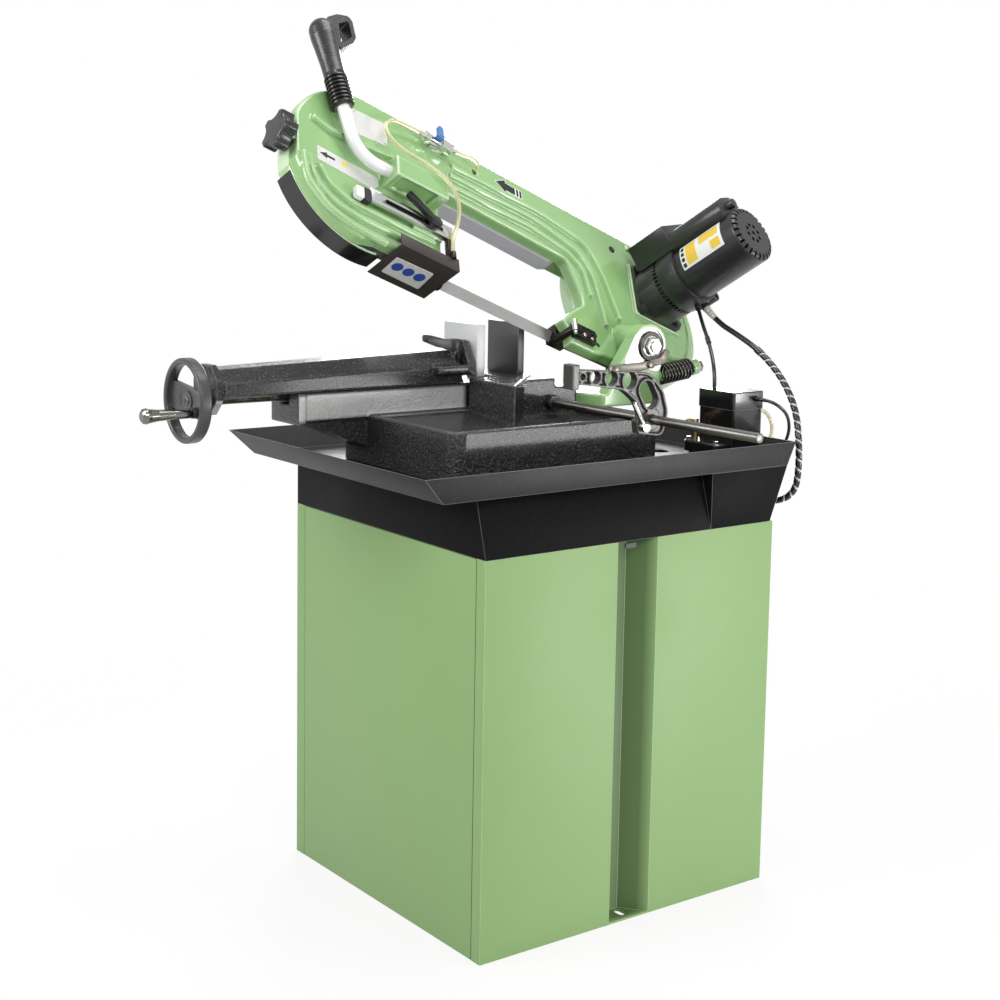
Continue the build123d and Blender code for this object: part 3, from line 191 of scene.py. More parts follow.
# Camera fitted to the cabinet's edges
camera_place = Vector((2.3833, -1.8473, 1.2296))
camera_turn, camera_tilt, camera_roll = (math.radians(a) for a in (53.357, 6.954, 0.951))
sensor_width = 36.0
focal_share = 1.6999
picture_shift = -0.1

# Frame of the bow, read from the joints: u to the rear, v across the blade, w out of the face
joints = {j["name"]: j for j in frame["joints"]}
rear_dir = Vector(joints["guide_slide"]["axis"]).normalized()
face_dir = Vector(joints["drive_spin"]["axis"]).normalized()
across_dir = face_dir.cross(rear_dir)
drive_u, wheel_v = 53, 135
drive_place = Vector(joints["drive_spin"]["pos_m"])
bow_origin = drive_place - (drive_u * rear_dir + wheel_v * across_dir) * MM
bow_axes = Matrix((rear_dir, across_dir, face_dir)).transposed().to_4x4()
bow_frame = Matrix.Translation(bow_origin) @ bow_axes


def bow(u, v, w):
    """Point of the bow, given in millimetres, in the row frame."""
    return bow_frame @ Vector((u * MM, v * MM, w * MM))


def row(x, y, z):
    """Point of the row frame, given in millimetres."""
    return Vector((x * MM, y * MM, z * MM))


def paint_colour(red, green, blue):
    """Linear colour of a finish matched in steps of 0 to 255, through the sRGB curve."""
    def linear(step):
        share = step / 255
        return share / 12.92 if share <= 0.04045 else ((share + 0.055) / 1.055) ** 2.4
    return (linear(red), linear(green), linear(blue), 1.0)


class Net:
    """Shader nodes of one material or group, added with their inputs in one call."""

    def __init__(self, tree):
        self.tree = tree

    def feed(self, socket, value):
        """Links a socket to another one, or sets its constant."""
        if isinstance(value, bpy.types.NodeSocket):
            self.tree.links.new(value, socket)
        else:
            socket.default_value = value

    def add(self, kind, inputs=None, **settings):
        node = self.tree.nodes.new("ShaderNode" + kind)
        for key, value in settings.items():
            setattr(node, key, value)
        for key, value in (inputs or {}).items():
            self.feed(node.inputs[key], value)
        return node

    def place(self):
        """Place in the piece's own frame, in metres."""
        return self.add("TexCoord").outputs["Object"]

    def parts(self, vector):
        """X, Y and Z of a vector."""
        return self.add("SeparateXYZ", {0: vector}).outputs

    def math(self, operation, first, second, clamp=False):
        """Result of one operation on two values."""
        node = self.add("Math", {0: first, 1: second}, operation=operation, use_clamp=clamp)
        return node.outputs[0]

    def times(self, first, *others):
        """Product of several values."""
        for value in others:
            first = self.math("MULTIPLY", first, value)
        return first

    def swing(self, value, amount, middle=0.5):
        """Swing of a value about its middle, scaled."""
        return self.times(self.math("SUBTRACT", value, middle), amount)

    def mix(self, share, first, second):
        return self.add("Mix", {0: share, 6: first, 7: second}, data_type="RGBA").outputs[2]

    def span(self, value, low, high, to_low=0.0, to_high=1.0):
        """Value drawn from one range to another."""
        inputs = {"Value": value, "From Min": low, "From Max": high}
        inputs.update({"To Min": to_low, "To Max": to_high})
        return self.add("MapRange", inputs).outputs["Result"]

    def noise(self, place, scale, detail=4.0, roughness=0.55):
        inputs = {"Vector": place, "Scale": scale, "Detail": detail, "Roughness": roughness}
        return self.add("TexNoise", inputs).outputs["Fac"]

    def group(self, tree, **inputs):
        node = self.tree.nodes.new("ShaderNodeGroup")
        node.node_tree = tree
        for key, value in inputs.items():
            self.feed(node.inputs[key], value)
        return node.outputs


def new_group(name, inputs, outputs):
    """Empty node group; returns its net, what it is given and what it gives."""
    tree = bpy.data.node_groups.new(name, "ShaderNodeTree")
    for side, sockets in (("INPUT", inputs), ("OUTPUT", outputs)):
        for label, kind in sockets.items():
            tree.interface.new_socket(name=label, in_out=side, socket_type="NodeSocket" + kind)
    start, end = tree.nodes.new("NodeGroupInput"), tree.nodes.new("NodeGroupOutput")
    return Net(tree), start.outputs, end.inputs


# Node groups that the finishes share
def make_paint_life():
    """Slow and fine drift of a paint's colour, and slow drift of its gloss."""
    slow_scale, fine_scale = 5.0, 160.0
    slow_share, fine_share = 0.7, 0.3
    gloss_swing = 0.25
    inputs = {"Colour": "Color", "Drift": "Float"}
    net, given, out = new_group("paint life", inputs, {"Colour": "Color", "Gloss": "Float"})
    place = net.place()
    slow = net.noise(place, slow_scale, 3.0)
    fine = net.noise(place, fine_scale, 2.0)
    both = net.math("ADD", net.times(slow, slow_share), net.times(fine, fine_share))
    value = net.math("ADD", net.swing(both, given["Drift"]), 1.0)
    hue = net.add("HueSaturation", {"Color": given["Colour"], "Value": value})
    net.feed(out["Colour"], hue.outputs["Color"])
    net.feed(out["Gloss"], net.swing(slow, gloss_swing))
    return net.tree


def make_edge_wear():
    """Mask of corners rubbed bare, broken up by noise."""
    patch_scale, patch_middle, patch_swing = 60.0, 0.62, 0.18
    wear_start, wear_full = 0.6, 0.62
    net, given, out = new_group("edge wear", {"Reach": "Float"}, {"Mask": "Float"})
    patch = net.noise(net.place(), patch_scale, 5.0, 0.7)
    corner = net.add("NewGeometry").outputs["Pointiness"]
    worn = net.math("ADD", corner, net.swing(patch, patch_swing, patch_middle))
    low = net.math("SUBTRACT", wear_start, given["Reach"])
    net.feed(out["Mask"], net.span(worn, low, wear_full))
    return net.tree


def make_cast_skin():
    """Uneven skin of sand castings and powder coat as a height, and a mask of specks that are painted on as glints."""
    lump_scale = 0.22
    glint_start, glint_full = 0.55, 0.68
    inputs = {"Grain": "Float", "Lumps": "Float"}
    net, given, out = new_group("cast skin", inputs, {"Height": "Float", "Glint Specks": "Float"})
    place = net.place()
    grain = net.noise(place, given["Grain"], 3.0, 0.6)
    lump = net.noise(place, net.times(given["Grain"], lump_scale), 2.0)
    net.feed(out["Height"], net.math("ADD", grain, net.times(lump, given["Lumps"])))
    net.feed(out["Glint Specks"], net.span(grain, glint_start, glint_full))
    return net.tree


def make_brush_lines():
    """Fine lines of a ground or turned surface, drawn out along one direction."""
    net, given, out = new_group("brush lines", {"Stretch": "Vector"}, {"Line": "Float"})
    drawn = net.add("VectorMath", {0: net.place(), 1: given["Stretch"]}, operation="MULTIPLY")
    net.feed(out["Line"], net.noise(drawn.outputs[0], 1.0, 4.0, 0.7))
    return net.tree


def make_settled_dust():
    """Mask of dust and chips that lie on faces turned upwards."""
    cloud_scale, cloud_start, cloud_full = 30.0, 0.42, 0.7
    facing_start, facing_full = 0.35, 1.0
    net, given, out = new_group("settled dust", {"Amount": "Float"}, {"Mask": "Float"})
    up = net.parts(net.add("NewGeometry").outputs["Normal"])["Z"]
    cloud = net.span(net.noise(net.place(), cloud_scale, 6.0, 0.7), cloud_start, cloud_full)
    facing = net.span(up, facing_start, facing_full)
    net.feed(out["Mask"], net.times(cloud, facing, given["Amount"]))
    return net.tree


def make_painted_form_light():
    """Painted shade in the roots of a casting's ribs and painted highlights on their crests."""
    root_start, root_full = 0.497, 0.44
    crest_start, crest_full = 0.503, 0.56
    inputs = {"Colour": "Color", "Crest Highlight": "Color", "Dark": "Float", "Light": "Float"}
    net, given, out = new_group("painted form light", inputs, {"Colour": "Color"})
    bend = net.add("NewGeometry").outputs["Pointiness"]
    root = net.times(net.span(bend, root_start, root_full), given["Dark"])
    crest_highlight = net.times(net.span(bend, crest_start, crest_full), given["Light"])
    value = net.math("SUBTRACT", 1.0, root)
    shaded = net.add("HueSaturation", {"Color": given["Colour"], "Value": value})
    net.feed(out["Colour"], net.mix(crest_highlight, shaded.outputs["Color"], given["Crest Highlight"]))
    return net.tree


def make_zone(name, fades):
    """Mask of one zone of a piece; fades are (measure, axis, start, full), places in metres."""
    net, given, out = new_group(name, {"Share": "Float"}, {"Mask": "Float"})
    mask = given["Share"]
    for measure, axis, start, full in fades:
        source = net.add("NewGeometry").outputs["Normal"] if measure == "turned" else net.place()
        value = net.parts(source)[axis]
        if measure == "either side":
            value = net.math("ABSOLUTE", value, 0.0)
        mask = net.times(mask, net.span(value, start, full))
    net.feed(out["Mask"], mask)
    return net.tree


paint_life, edge_wear, cast_skin = make_paint_life(), make_edge_wear(), make_cast_skin()
brush_lines, settled_dust, painted_form_light = make_brush_lines(), make_settled_dust(), make_painted_form_light()

# Painted glint on the vise bed's side, a near-white patch: in front of the table, above the foot and below the
# carriage
bed_side_glint = make_zone("bed side glint", (
    ("turned", "X", 0.55, 0.85), ("place", "Y", -0.094, -0.104), ("place", "Z", 0.840, 0.848),
    ("place", "Z", 0.889, 0.884), ("place", "X", 0.0, -0.03),
))

# Painted shade inside the cabinet's anchoring grooves
groove_shade = make_zone("groove shade", (
    ("either side", "X", 0.2921, 0.276), ("either side", "Y", 0.046, 0.0445),
))

# Values that the finishes share
bare_iron = paint_colour(176, 176, 172)
dust_colour = paint_colour(150, 148, 142)
line_swing, line_strength, line_depth = 0.35, 0.12, 0.0004
coat_roughness = 0.12


def new_material(name):
    """New material, its net and its shader."""
    material = bpy.data.materials.new(name)
    material.use_nodes = True
    return material, Net(material.node_tree), material.node_tree.nodes["Principled BSDF"]


def finish(name, colour, roughness, drift, metallic=0.0, specular=0.5, coat=0.0, skin=None,
           depth=0.0012, glint_specks=None, lines=None, relief=None, wear=0.0, zone=None, dust=0.0):
    """Solid finish with colour drift, and the other effects where they are given.

    skin is (grain, lumps, strength), glint specks (colour of painted glints, share),
    lines the stretch of brush lines, relief (painted crest highlight colour, painted root shade,
    painted crest light) and zone (mask group, colour of painted shade or a painted glint, share).
    """
    material, net, shader = new_material(name)
    life = net.group(paint_life, Colour=paint_colour(*colour), Drift=drift)
    tint, rough = life["Colour"], net.math("ADD", life["Gloss"], roughness, clamp=True)
    # Painted shade in the ribs' roots and painted highlights on their crests
    if relief:
        crest_highlight, dark, light = relief
        inputs = {"Colour": tint, "Crest Highlight": paint_colour(*crest_highlight), "Dark": dark, "Light": light}
        tint = net.group(painted_form_light, **inputs)["Colour"]
    if wear:
        tint = net.mix(net.group(edge_wear, Reach=wear)["Mask"], tint, bare_iron)
    # Zones paint shade (the cabinet's grooves) or a glint (the vise bed's side) into the colour
    if zone:
        tree, zone_colour, share = zone
        tint = net.mix(net.group(tree, Share=share)["Mask"], tint, paint_colour(*zone_colour))
    if dust:
        tint = net.mix(net.group(settled_dust, Amount=dust)["Mask"], tint, dust_colour)
    bump = None
    if lines:
        line = net.group(brush_lines, Stretch=lines)["Line"]
        rough = net.math("ADD", rough, net.swing(line, line_swing), clamp=True)
        bump = {"Height": line, "Strength": line_strength, "Distance": line_depth}
    if skin:
        grain, lumps, strength = skin
        surface = net.group(cast_skin, Grain=grain, Lumps=lumps)
        bump = {"Height": surface["Height"], "Strength": strength, "Distance": depth}
        # Lighter specks of the grain, painted on as glints
        if glint_specks:
            glint_colour, share = glint_specks
            shown = net.times(surface["Glint Specks"], share)
            tint = net.mix(shown, tint, paint_colour(*glint_colour))
    if bump:
        net.feed(shader.inputs["Normal"], net.add("Bump", bump).outputs["Normal"])
    net.feed(shader.inputs["Base Color"], tint)
    net.feed(shader.inputs["Roughness"], rough)
    shader.inputs["Metallic"].default_value = metallic
    shader.inputs["Specular IOR Level"].default_value = specular
    shader.inputs["Coat Weight"].default_value = coat
    shader.inputs["Coat Roughness"].default_value = coat_roughness
    return material


# Finishes: name, colour, roughness, colour drift, then the effects
# Cabinet green, with painted shade inside its grooves
cabinet_green = finish("cabinet green", (131, 162, 106), 0.5, 0.1, specular=0.35,
                       skin=(900, 0.2, 0.06), zone=(groove_shade, (82, 106, 64), 0.95))
# Bow and tower greens: painted highlights on rib crests and painted shade in rib roots
bow_green = finish("bow green", (139, 180, 118), 0.22, 0.2, coat=0.5, skin=(260, 0.8, 0.09),
                   relief=((226, 242, 212), 0.6, 0.6))
tower_green = finish("tower green", (144, 186, 122), 0.28, 0.25, coat=0.4, skin=(260, 0.8, 0.1),
                     relief=((226, 242, 212), 0.5, 0.5), dust=0.2)
# Tray and plinth blacks: lighter specks painted on as glints
tray_black = finish("tray black", (14, 14, 15), 0.45, 0.3, specular=0.3, skin=(500, 0.3, 0.25),
                    glint_specks=((120, 120, 120), 0.16), dust=0.04)
plinth_black = finish("plinth black", (13, 13, 13), 0.5, 0.3, specular=0.06, skin=(700, 0.3, 0.2),
                      glint_specks=((110, 110, 110), 0.1))
# Cast black: lighter specks painted as glints, painted highlights on crests and shade in roots, and a painted
# near-white glint on the vise bed's side
cast_black = finish("cast black", (12, 12, 13), 0.2, 0.5, coat=0.28, skin=(240, 0.7, 1.0),
                    depth=0.005, glint_specks=((150, 150, 150), 0.24),
                    relief=((120, 120, 120), 0.4, 0.35), zone=(bed_side_glint, (214, 214, 213), 0.96),
                    dust=0.06)
# Cast grey: painted highlights on crests and painted shade in roots
cast_grey = finish("cast grey", (54, 51, 48), 0.36, 0.4, coat=0.15, skin=(260, 0.8, 0.4),
                   relief=((140, 137, 132), 0.6, 0.3))
jaw_dark = finish("jaw dark", (74, 74, 75), 0.42, 0.6, metallic=0.45, lines=(900, 900, 30))
jaw_light = finish("jaw light", (198, 199, 200), 0.45, 0.25, metallic=0.2, lines=(900, 900, 30))
wheel_grey = finish("wheel grey", (58, 58, 59), 0.36, 0.25, coat=0.2, skin=(500, 0.4, 0.1))
bright_steel = finish("bright steel", (214, 215, 215), 0.2, 0.2, metallic=1.0, lines=(60, 900, 900))
turned_steel = finish("turned steel", (190, 188, 184), 0.16, 0.3, metallic=1.0,
                      lines=(700, 20, 700))
rod_steel = finish("rod steel", (104, 101, 98), 0.34, 0.7, metallic=1.0, lines=(20, 700, 700))
tube_white = finish("tube white", (232, 233, 233), 0.28, 0.06, metallic=0.1, coat=0.3)
dark_steel = finish("dark steel", (58, 54, 51), 0.3, 0.6, metallic=0.8, skin=(420, 0.5, 0.14),
                    wear=0.04)
lever_grey = finish("lever grey", (128, 123, 116), 0.34, 0.4, metallic=0.8, skin=(420, 0.5, 0.1))
spring_steel = finish("spring steel", (84, 80, 78), 0.2, 0.3, metallic=0.9)
blade_steel = finish("blade steel", (132, 131, 129), 0.5, 0.5, metallic=0.25, lines=(900, 40, 900))
motor_black = finish("motor black", (33, 33, 34), 0.34, 0.3, coat=0.15, skin=(620, 0.4, 0.18))
# Moulded black: lighter specks painted on as glints
moulded_black = finish("moulded black", (34, 34, 35), 0.26, 0.3, coat=0.2, skin=(520, 0.6, 0.3),
                       glint_specks=((150, 150, 150), 0.16))
plastic_black = finish("plastic black", (30, 30, 31), 0.36, 0.2, skin=(1500, 0.2, 0.08))
gloss_black = finish("gloss black", (16, 16, 17), 0.27, 0.3, coat=0.6, skin=(240, 0.9, 0.1))
rubber_black = finish("rubber black", (22, 22, 23), 0.26, 0.25, coat=0.3, skin=(900, 0.3, 0.06))
grip_chrome = finish("grip chrome", (126, 124, 121), 0.14, 0.3, metallic=1.0)
guard_brown = finish("guard brown", (50, 45, 41), 0.42, 0.3, skin=(800, 0.3, 0.1))
chrome = finish("chrome", (222, 221, 218), 0.1, 0.1, metallic=1.0)
brass = finish("brass", (164, 146, 108), 0.34, 0.25, metallic=1.0)
lever_blue = finish("lever blue", (52, 112, 174), 0.3, 0.15, coat=0.3)
plate_silver = finish("plate silver", (216, 216, 213), 0.32, 0.2, metallic=0.3, lines=(900, 60, 60))
plate_white = finish("plate white", (238, 239, 238), 0.38, 0.06)
disc_blue = finish("disc blue", (42, 70, 146), 0.36, 0.1)
field_yellow = finish("field yellow", (238, 200, 70), 0.42, 0.25)
mark_black = finish("mark black", (20, 20, 20), 0.45, 0.1)
strip_lilac = finish("strip lilac", (178, 177, 183), 0.36, 0.1)
machined_face = finish("machined face", (232, 232, 229), 0.28, 0.15, metallic=0.35,
                       lines=(60, 900, 900))
wheel_iron = finish("wheel iron", (120, 120, 118), 0.4, 0.3, metallic=0.8)
# Lighter bevel-face finishes: painted highlights along edges
edge_highlight_grey = finish("edge highlight grey", (98, 98, 97), 0.34, 0.6)
plinth_edge_highlight = finish("plinth edge highlight", (48, 48, 47), 0.4, 0.6)
edge_highlight_green = finish("edge highlight green", (188, 212, 168), 0.34, 0.3)
# Darker bevel-face finish of the front panel: painted shade along its seam
seam_shade_green = finish("seam shade green", (72, 98, 54), 0.5, 0.3)
# Light grey of the main cable's core, shown between the wrap's windings as painted glints
glint_grey = finish("glint grey", (196, 196, 194), 0.4, 0.2)

# Clear soft tube with a faint yellow tint
hose_clear = finish("hose clear", (236, 231, 196), 0.12, 0.3)
hose_shader = hose_clear.node_tree.nodes["Principled BSDF"]
hose_shader.inputs["Transmission Weight"].default_value = 0.55
hose_shader.inputs["IOR"].default_value = 1.35

# Finish of each CAD node
node_finish = {
    cabinet_green: "cabinet_shell front_panel",
    tray_black: "drip_tray coolant_tank",
    plinth_black: "plinth_frame",
    cast_black: "base_casting vise_carriage",
    jaw_dark: "fixed_jaw",
    jaw_light: "moving_jaw",
    wheel_grey: "hand_wheel",
    cast_grey: "stop_arm",
    tower_green: "swivel_arm",
    bow_green: "bow_casting wheel_cover",
    rod_steel: "stop_rod",
    turned_steel: "hinge_shaft swivel_pin",
    grip_chrome: "wheel_grip",
    bright_steel: "guide_bar hinge_nut stop_lever",
    tube_white: "handle_tube",
    dark_steel: "base_bolts hinge_bearings idler_slide front_guide rear_guide motor_rotor "
                "vise_screw guide_stud",
    lever_grey: "limit_lever spring_bolt",
    spring_steel: "return_spring",
    blade_steel: "saw_blade",
    wheel_iron: "drive_wheel idler_wheel",
    motor_black: "gearbox motor_shell motor_cap terminal_box",
    plastic_black: "trigger guide_lever cable_glands vise_lever",
    moulded_black: "tension_knob grip_shell",
    gloss_black: "pump_box",
    rubber_black: "handle_boot main_cable pump_hose pump_cable",
    guard_brown: "blade_guard",
    strip_lilac: "blade_channel",
    chrome: "valve_body",
    brass: "pump_fitting vise_nut",
    lever_blue: "valve_lever",
    hose_clear: "valve_hose nozzle_hose drain_tube",
}
finish_of = {name: material for material, names in node_finish.items() for name in names.split()}
for name, material in finish_of.items():
    mesh = frame["nodes"][name].data
    mesh.materials.clear()
    mesh.materials.append(material)
body_of = {name: node["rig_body"] for name, node in frame["nodes"].items()}

# Angles in degrees: above a crease an edge is shaded sharp, below flat_angle faces become one
plain_crease, bevel_crease, tube_crease, cast_crease = 32, 35, 50, 60
bevelled_from, flat_angle = 40, 0.4
join_distance = 1e-5

# Corners of round forms
round_sides, screw_sides, small_sides, hex_sides, ring_steps = 24, 20, 16, 6, 72


def shade(mesh, crease):
    """Smooth shading with sharp edges kept above an angle."""
    form = bmesh.new()
    form.from_mesh(mesh)
    for face in form.faces:
        face.smooth = True
    for edge in form.edges:
        joined = len(edge.link_faces) == 2
        edge.smooth = joined and edge.calc_face_angle() < math.radians(crease)
    form.to_mesh(mesh)
    form.free()


def free_piece(name, mesh, material, crease=plain_crease):
    """New piece that has no body yet."""
    mesh.materials.append(material)
    shade(mesh, crease)
    obj = bpy.data.objects.new(name, mesh)
    scene.collection.objects.link(obj)
    return obj


def piece(name, mesh, body, material):
    """New piece that rides on a body."""
    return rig.ride(free_piece(name, mesh, material), body)


def mesh_of(form, name):
    """Mesh made from a bmesh, which is freed."""
    mesh = bpy.data.meshes.new(name)
    form.to_mesh(mesh)
    form.free()
    return mesh


def node_form(node):
    """Clean copy of a CAD node's mesh: joined corners and whole flat faces."""
    form = bmesh.new()
    form.from_mesh(frame["nodes"][node].data)
    bmesh.ops.remove_doubles(form, verts=form.verts, dist=join_distance)
    limit = math.radians(flat_angle)
    bmesh.ops.dissolve_limit(form, angle_limit=limit, verts=form.verts, edges=form.edges)
    return form


def settle(obj):
    """Replaces an object's mesh by the result of its modifiers."""
    bpy.context.view_layer.update()
    shown = obj.evaluated_get(bpy.context.evaluated_depsgraph_get())
    made = bpy.data.meshes.new_from_object(shown)
    obj.modifiers.clear()
    obj.data = made


def softened(node, radius, edge):
    """Copy of a CAD node with rounded edges, whose bevel faces take the edge finish where one is given: painted
    highlights, or painted shade along the front panel's seam.
    """
    form = node + "_form"
    obj = piece(form, mesh_of(node_form(node), form), body_of[node], finish_of[node])
    bevel = obj.modifiers.new("edges", "BEVEL")
    bevel.width = radius * MM
    bevel.segments = 2
    bevel.limit_method = "ANGLE"
    bevel.angle_limit = math.radians(bevelled_from)
    # Bevel faces take the edge finish: a painted highlight, or painted shade on the front panel's seam
    if edge:
        obj.data.materials.append(edge)
        bevel.material = 1
    settle(obj)
    shade(obj.data, bevel_crease)
    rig.replaces(obj, node)


def cut_block(centre, size, turn):
    """Block that cuts a kerf, turned about the upright."""
    form = bmesh.new()
    turned = Matrix.Rotation(math.radians(turn), 4, "Z")
    place = Matrix.Translation(centre) @ turned @ Matrix.Diagonal((*size, 1.0))
    bmesh.ops.create_cube(form, size=1.0, matrix=place)
    return bpy.data.objects.new("kerf", mesh_of(form, "kerf"))


def cast_form(node, cell, passes, axes=Matrix.Identity(4), kerfs=()):
    """Copy of a CAD node with the soft corners of a sand casting; kerfs are sawn after that."""
    mesh = mesh_of(node_form(node), node + "_form")
    mesh.transform(axes.inverted())
    obj = piece(node + "_form", mesh, body_of[node], finish_of[node])
    remesh = obj.modifiers.new("skin", "REMESH")
    remesh.mode = "VOXEL"
    remesh.voxel_size = cell * MM
    smooth = obj.modifiers.new("soften", "SMOOTH")
    smooth.factor = 0.5
    smooth.iterations = passes
    blocks = [cut_block(*kerf) for kerf in kerfs]
    for block in blocks:
        scene.collection.objects.link(block)
        saw = obj.modifiers.new("kerf", "BOOLEAN")
        saw.operation = "DIFFERENCE"
        saw.solver = "EXACT"
        saw.object = block
    settle(obj)
    for block in blocks:
        bpy.data.objects.remove(block)
    obj.data.transform(axes)
    shade(obj.data, cast_crease)
    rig.replaces(obj, node)


# Cord routes, as in the part's source
main_route = [
    (14, 404, 1016), (48, 402, 992), (98, 402, 974), (152, 408, 948), (206, 414, 904),
    (250, 408, 850), (272, 396, 796), (276, 394, 745), (264, 400, 700), (232, 388, 676),
    (192, 352, 678),
]
pump_hose_route = [
    (158, 292, 883), (158, 292, 907), (138, 304, 938), (102, 326, 966), (60, 350, 992),
    (18, 378, 1017),
]
pump_cable_route = [
    (225, 330, 870), (241, 330, 870), (255, 340, 867), (262, 358, 856), (259, 380, 838),
    (250, 394, 808), (234, 394, 776), (214, 378, 748),
]
drain_route = [
    (200, 352, 846), (200, 366, 846), (203, 382, 839), (206, 394, 820), (204, 396, 796),
    (198, 388, 774), (190, 374, 758),
]
valve_route = [
    (-416, 268, 54), (-400, 268, 54), (-378, 270, 58), (-359, 264, 57), (-357, 262, 44),
]
nozzle_route = [
    (-498, 268, 54), (-524, 268, 54), (-564, 256, 62), (-588, 234, 64), (-586, 206, 66),
    (-558, 182, 72), (-520, 158, 91), (-478, 136, 98), (-448, 111, 88), (-434, 84, 66),
    (-446, 50, 60), (-446, 20, 60),
]


def smooth_line(points):
    """Points of the smooth spline that a route's points control."""
    curve = bpy.data.curves.new("route", "CURVE")
    curve.dimensions = "3D"
    curve.resolution_u = 14
    spline = curve.splines.new("NURBS")
    spline.points.add(len(points) - 1)
    for control, point in zip(spline.points, points):
        control.co = (*point, 1.0)
    spline.order_u = 3
    spline.use_endpoint_u = True
    holder = bpy.data.objects.new("route", curve)
    mesh = bpy.data.meshes.new_from_object(holder)
    line = [vertex.co.copy() for vertex in mesh.vertices]
    bpy.data.objects.remove(holder)
    bpy.data.meshes.remove(mesh)
    return line


def line_length(line):
    """Length along a line of points."""
    return sum((b - a).length for a, b in zip(line, line[1:]))


def even_line(line, step):
    """Same line with points at even steps."""
    total = line_length(line)
    count = max(2, round(total / step))
    wanted = [total * k / count for k in range(count + 1)]
    out, gone, part = [], 0.0, 0
    for distance in wanted:
        while part < len(line) - 2 and gone + (line[part + 1] - line[part]).length < distance:
            gone += (line[part + 1] - line[part]).length
            part += 1
        run = line[part + 1] - line[part]
        share = min(1.0, (distance - gone) / run.length)
        out.append(line[part] + run * share)
    return out


def cord_line(route, place, step=3):
    """Even line of a cord; place reads the route's points, step is in millimetres."""
    return even_line(smooth_line([place(*point) for point in route]), step * MM)


def full_turn(count):
    """Angles at even steps round a circle."""
    return [2 * math.pi * k / count for k in range(count)]


def around(centre, radius, angle):
    """Flat point at an angle round a centre."""
    return centre[0] + radius * math.cos(angle), centre[1] + radius * math.sin(angle)


def close_rings(form, rings, caps=True):
    """Faces between rings of equal count, with closed ends or the last ring joined to the first."""
    for lower, upper in zip(rings, rings[1:] if caps else rings[1:] + rings[:1]):
        for k in range(len(lower)):
            n = (k + 1) % len(lower)
            form.faces.new((lower[k], lower[n], upper[n], upper[k]))
    if caps:
        form.faces.new(list(reversed(rings[0])))
        form.faces.new(rings[-1])


def tube_mesh(name, line, radius, sides=20):
    """Closed round tube along a line; radius is a number or radius(distance, angle)."""
    form = bmesh.new()
    side = (line[1] - line[0]).orthogonal().normalized()
    rings, distance = [], 0.0
    for index, centre in enumerate(line):
        ahead = line[min(index + 1, len(line) - 1)] - line[max(index - 1, 0)]
        ahead.normalize()
        side = (side - ahead * side.dot(ahead)).normalized()
        other = ahead.cross(side)
        if index:
            distance += (centre - line[index - 1]).length
        ring = []
        for angle in full_turn(sides):
            reach = radius(distance, angle) if callable(radius) else radius
            spoke = side * math.cos(angle) + other * math.sin(angle)
            ring.append(form.verts.new(centre + spoke * reach))
        rings.append(ring)
    close_rings(form, rings)
    return mesh_of(form, name)


def free_tube(name, line, radius, material, sides=20):
    """Tube with no body yet."""
    return free_piece(name, tube_mesh(name, line, radius, sides), material, tube_crease)


def wound_wrap(distance, angle):
    """Radius of the spiral wrap on the main cable: a wide band and a narrow gap."""
    pitch, band_share, slope_share = 17, 0.8, 0.05
    gap_radius, band_height = 4.2, 2.0
    phase = (distance / (pitch * MM) + angle / (2 * math.pi)) % 1.0
    edge = min(phase, band_share - phase) if phase < band_share else 0.0
    return (gap_radius + band_height * min(1.0, edge / slope_share)) * MM


def strain_relief(name, line, body, material, inner, outer, length):
    """Ribbed sleeve on a cord's first stretch, from its outer to its inner radius."""
    groove_count, groove_from, groove_depth, plain_share = 5, 0.62, 0.6, 0.15
    reaches = [line_length(line[: index + 1]) for index in range(len(line))]
    stretch = [point for point, reach in zip(line, reaches) if reach <= length * MM]

    def profile(distance, angle):
        share = min(1.0, distance / (length * MM))
        grooved = (share * groove_count) % 1.0 > groove_from and share > plain_share
        return (outer + (inner - outer) * share - (groove_depth if grooved else 0.0)) * MM
    return piece(name, tube_mesh(name, stretch, profile, round_sides), body, material)


# Main cable: smooth sheath on the bow's side, spiral wrap on the stand's side, with a light grey core that shows
# between the windings as painted glints
sheath_radius, core_radius, collar_radius, wrap_sides = 5.3, 4.9, 6.9, 32
main_line = cord_line(main_route, row, step=1.6)
wrap_start = row(152, 406, 946)
cut = min(range(len(main_line)), key=lambda k: (main_line[k] - wrap_start).length)
sheath_line, wrap_line = main_line[: cut + 1], main_line[cut:]
sheath = free_tube("main_cable_sheath", sheath_line, sheath_radius * MM, rubber_black)
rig.blend(sheath, "swivel", "bow", start=sheath_line[-1], end=sheath_line[0])
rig.replaces(sheath, "main_cable")
wrap = free_tube("main_cable_wrap", wrap_line, wound_wrap, rubber_black, wrap_sides)
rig.blend(wrap, "stand", "swivel", start=wrap_line[-1], end=wrap_line[0])
